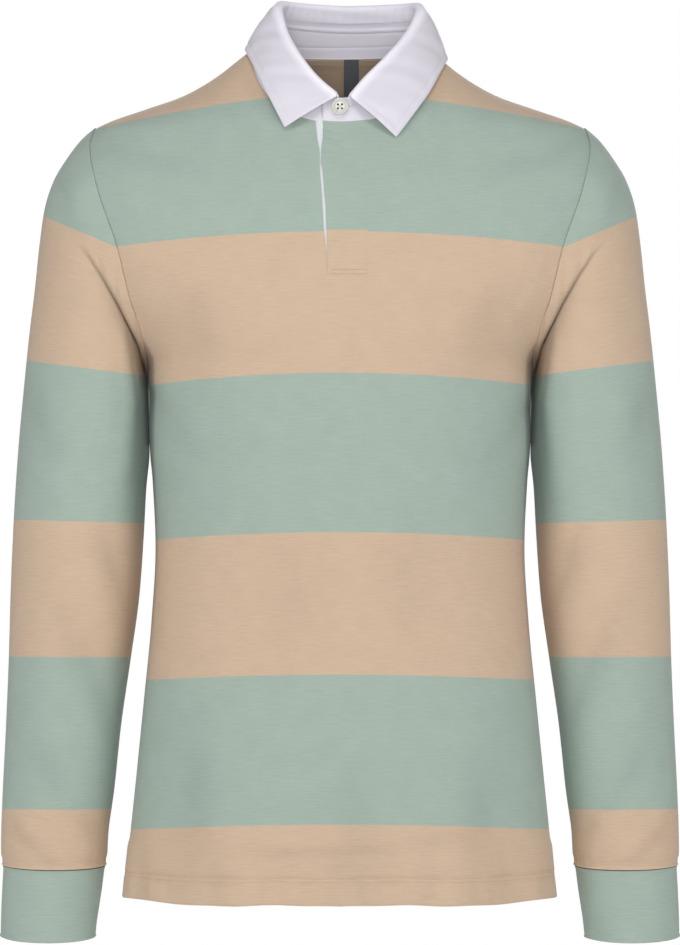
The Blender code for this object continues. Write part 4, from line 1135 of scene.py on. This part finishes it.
def tape_form():
    """A strip inside the back's top edge, made from the back's own points, moved in."""
    chest = level_section(ARMPIT_LEVEL, "back", SEAM_GAP / 2, np.linspace(0, 1, 13))
    columns = []
    for k in range(-TAPE_STEPS, TAPE_STEPS + 1):
        turn = TAPE_TURN * abs(k) / TAPE_STEPS
        share = turn / (math.pi / 2) * NECK_SHARE
        reach = np.interp(share * 12, np.arange(13), chest[:, 0])
        fine = upper_column(neck_point(turn, "back"), reach, share, "back")[::-1]
        down = np.linspace(TAPE_INSET, TAPE_INSET + TAPE_WIDTH, 7)
        column = at_shares(fine, down / lengths_along(fine)[-1])
        columns.append(column[::-1] * (1 if k >= 0 else -1, 1, 1))
    grid = np.array(columns).transpose(1, 0, 2)[:, ::-1]
    return grid - grid_normals(grid) * TRIM_CLEAR


def trim(name, cloth, grid, colour, pitch, roughness, sheen, thickness, slot):
    """A narrow one-colour fabric with fine cross threads, laid as a sheet."""
    cloth = textile(
        cloth, plain_knit, (colour,), 0.3, (0.4, 0.0001),
        {"Roughness": roughness, "Sheen Weight": sheen}, {"Course": pitch, "Wale": pitch * 1.4},
    )
    return sewn_piece(name, cloth_net(grid, flat_of(grid)), cloth, thickness, slot, slot)


tape = trim(
    "back_neck_tape", "tape_cotton", tape_form(), (0.52, 0.41, 0.29), 0.0011, 0.9, 0.05,
    TAPE_CLOTH, "neck_tape",
)

across = np.linspace(LABEL_RIGHT, LABEL_LEFT, 10)[None, :]
levels = -NECK_DROP["back"] - np.linspace(LABEL_LENGTH, TAPE_INSET, 24)[:, None]
label_form = on_body(across, levels, "back") - (0, TRIM_CLEAR + LABEL_OFF_TAPE, 0)
label = trim(
    "bare_label", "label_satin", label_form, (0.140, 0.145, 0.160), 0.0006, 0.45, 0.1,
    LABEL_CLOTH, "neck_label",
)

# ----------------------------------------------------------------- Neck button
# The button is a turned four-hole disc of cream plastic with a raised rim. Crossed
# threads hold it to the stand, and it comes out through a worked buttonhole.
BUTTON_RADIUS = 0.0073
BUTTON_DEPTH = 0.0030
BUTTON_LEVEL = -0.0507
BUTTON_STAND_OFF = 0.0002
BUTTON_LEAN = 4.5
HOLE_RADIUS = 0.0010
HOLE_PITCH = 0.0017
BUTTONHOLE_FROM, BUTTONHOLE_PITCH, BUTTONHOLE_BARS = 0.0075, 0.00024, 16
HOLES = [Vector((x * HOLE_PITCH, y * HOLE_PITCH, 0)) for x in (1, -1) for y in (1, -1)]
BUTTON_PROFILE = (  # share of the radius, share of the depth
    (0.0, 0.55), (0.35, 0.55), (0.52, 0.55), (0.60, 0.57), (0.66, 0.64), (0.72, 0.78),
    (0.78, 0.92), (0.84, 0.99), (0.90, 1.00), (0.95, 0.94), (0.985, 0.80), (1.0, 0.55),
    (0.985, 0.32), (0.95, 0.15), (0.90, 0.04), (0.84, 0.0), (0.0, 0.0),
)
button_front = -depth_at(0.0, -NECK_DROP["front"], "front") - BUTTON_STAND_OFF
seat = Matrix.Translation((0, button_front, BUTTON_LEVEL)) @ Matrix.Rotation(
    math.radians(90 - BUTTON_LEAN), 4, "X"
)


def turned_button():
    """The profile spun round, with four drilled holes."""
    disc = bmesh.new()
    points = [disc.verts.new((r * BUTTON_RADIUS, 0, h * BUTTON_DEPTH)) for r, h in BUTTON_PROFILE]
    line = [disc.edges.new(pair) for pair in zip(points, points[1:])]
    bmesh.ops.spin(
        disc, geom=points + line, cent=(0, 0, 0), axis=(0, 0, 1), angle=2 * math.pi, steps=72,
        use_merge=True,
    )
    bmesh.ops.remove_doubles(disc, verts=disc.verts, dist=1e-6)
    bmesh.ops.recalc_face_normals(disc, faces=disc.faces)
    drills = bmesh.new()
    for hole in HOLES:
        bmesh.ops.create_cone(
            drills, cap_ends=True, segments=24, radius1=HOLE_RADIUS, radius2=HOLE_RADIUS,
            depth=4 * BUTTON_DEPTH, matrix=Matrix.Translation(hole),
        )
    blank, drill = new_piece("button_blank", disc), new_piece("button_drills", drills)
    holes = blank.modifiers.new("holes", "BOOLEAN")
    holes.operation = "DIFFERENCE"
    holes.solver = "EXACT"
    holes.object = drill
    graph = bpy.context.evaluated_depsgraph_get()
    drilled = bmesh.new()
    drilled.from_mesh(bpy.data.meshes.new_from_object(blank.evaluated_get(graph)))
    drilled.transform(seat)
    for spare in (blank, drill):
        bpy.data.objects.remove(spare, do_unlink=True)
    return drilled


button_plastic, tree, plastic = new_material("button_plastic")
clouds = noise(tree, set_node(tree, "TexCoord").outputs["Object"], 260.0, 3.0)
cream = two_colours(tree, clouds, (0.57, 0.545, 0.50), (0.64, 0.62, 0.575))
tree.links.new(cream, plastic.inputs["Base Color"])
plastic.inputs["Roughness"].default_value = 0.30
plastic.inputs["Coat Weight"].default_value = 0.2
button = new_piece("turned_button", turned_button(), button_plastic, "button_plastic")
button.data.shade_smooth()
button.data.set_sharp_from_angle(angle=math.radians(35))
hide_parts("button")


def thick_threads(name, bars, wide, material):
    """Short thick threads, each a rounded bar between two points."""
    frames = []
    for a, b in bars:
        run = Vector(b) - Vector(a)
        turn = run.to_track_quat("X", "Z").to_matrix().to_4x4()
        size = Matrix.Diagonal((run.length, wide, wide, 1))
        frames.append(Matrix.Translation((Vector(a) + Vector(b)) / 2) @ turn @ size)
    rounded_bars(name, frames, material, "collar_twill", 10, 6)


crossed = []
reach, face = 0.8 * HOLE_PITCH, 0.57 * BUTTON_DEPTH
for shift in (-0.00022, 0.00022):
    for sign in (1, -1):
        ends = [(x + shift, (x - shift) * sign, face) for x in (-reach, reach)]
        crossed.append([seat @ Vector(end) for end in ends])
thick_threads(
    "button_threads", crossed, 0.0003, thread_material("button_thread", (0.64, 0.61, 0.55))
)
# The threads in the four holes are coloured dark as painted shade, standing in for the shade down
# the holes.
hole_shade_bars = [[seat @ (hole + Vector((0, 0, up))) for up in (0.0001, 0.0012)] for hole in HOLES]
thick_threads(
    "button_hole_shade_threads", hole_shade_bars, 0.0018, thread_material("hole_shade_thread", (0.10, 0.085, 0.075))
)
buttonhole = []
for k in range(BUTTONHOLE_BARS):
    place = (BUTTONHOLE_FROM + k * BUTTONHOLE_PITCH, button_front + 0.0002)
    buttonhole.append([(*place, BUTTON_LEVEL + up) for up in (0.0009, -0.0002)])
thick_threads("buttonhole_stitching", buttonhole, 0.0003, white_thread)

# ------------------------------------------------------------ Floor and studio
# A plain pale floor, a tall soft light at each side of the front, others in front, above
# and behind, and the camera straight in front, far away, as for a catalogue picture.
PHOTO_HEIGHT = 945
METRES_PER_PIXEL = 0.00086
NECK_PIXEL = 48
CAMERA_AWAY = 18.0  # from the shirt's nearer side
NEARER_SIDE = 0.05
FLOOR_LEVEL, FLOOR_RADIUS = -1.0, 4.0

floor_net = bmesh.new()
bmesh.ops.create_circle(
    floor_net, cap_ends=True, segments=96, radius=FLOOR_RADIUS,
    matrix=Matrix.Translation((0, 0, FLOOR_LEVEL)),
)
pale_paint, _, paint = new_material("pale_paint")
paint.inputs["Base Color"].default_value = (0.86, 0.86, 0.86, 1)
paint.inputs["Roughness"].default_value = 0.9
new_piece("studio_floor", floor_net, pale_paint)

studio = bpy.data.worlds.new("studio")
bpy.context.scene.world = studio
studio.use_nodes = True
sky = studio.node_tree
backdrop = sky.nodes["Background"]
backdrop.inputs["Color"].default_value = (1, 1, 1, 1)
seen = set_node(sky, "LightPath").outputs["Is Camera Ray"]
strength = set_node(sky, "MapRange", {"Value": seen, "To Min": 0.20, "To Max": 1.0})
sky.links.new(strength.outputs[0], backdrop.inputs["Strength"])

for name, place, aim, size, power in (
    ("left_box", (-3.1, -2.3, 0.1), (0, 0, -0.35), (1.5, 2.4), 43),
    ("right_box", (3.1, -2.3, 0.1), (0, 0, -0.35), (1.5, 2.4), 41),
    ("front_box", (0.0, -5.0, 0.1), (0, 0, -0.3), (1.6, 1.6), 82),
    ("top_box", (0.0, -1.6, 2.0), (0, 0, -0.1), (1.2, 0.9), 18),
    ("back_box", (0.3, 3.4, 0.8), (0, 0, -0.35), (2.4, 2.2), 75),
):
    lamp = bpy.data.lights.new(name, "AREA")
    lamp.shape = "RECTANGLE"
    lamp.size, lamp.size_y = size
    lamp.energy = power
    light = bpy.data.objects.new(name, lamp)
    bpy.context.scene.collection.objects.link(light)
    light.location = place
    light.rotation_euler = (Vector(aim) - Vector(place)).to_track_quat("-Z", "Y").to_euler()

lens = bpy.data.cameras.new("photo_camera")
lens.sensor_width = 36
lens.lens = 36 * CAMERA_AWAY / (PHOTO_HEIGHT * METRES_PER_PIXEL)
lens.clip_end = 50
camera = bpy.data.objects.new("photo_camera", lens)
bpy.context.scene.collection.objects.link(camera)
middle_level = (NECK_PIXEL - PHOTO_HEIGHT / 2) * METRES_PER_PIXEL
camera.location = (0, -CAMERA_AWAY - NEARER_SIDE, middle_level)
camera.rotation_euler = (math.pi / 2, 0, 0)
bpy.context.scene.camera = camera
bpy.context.scene.view_settings.view_transform = "Standard"
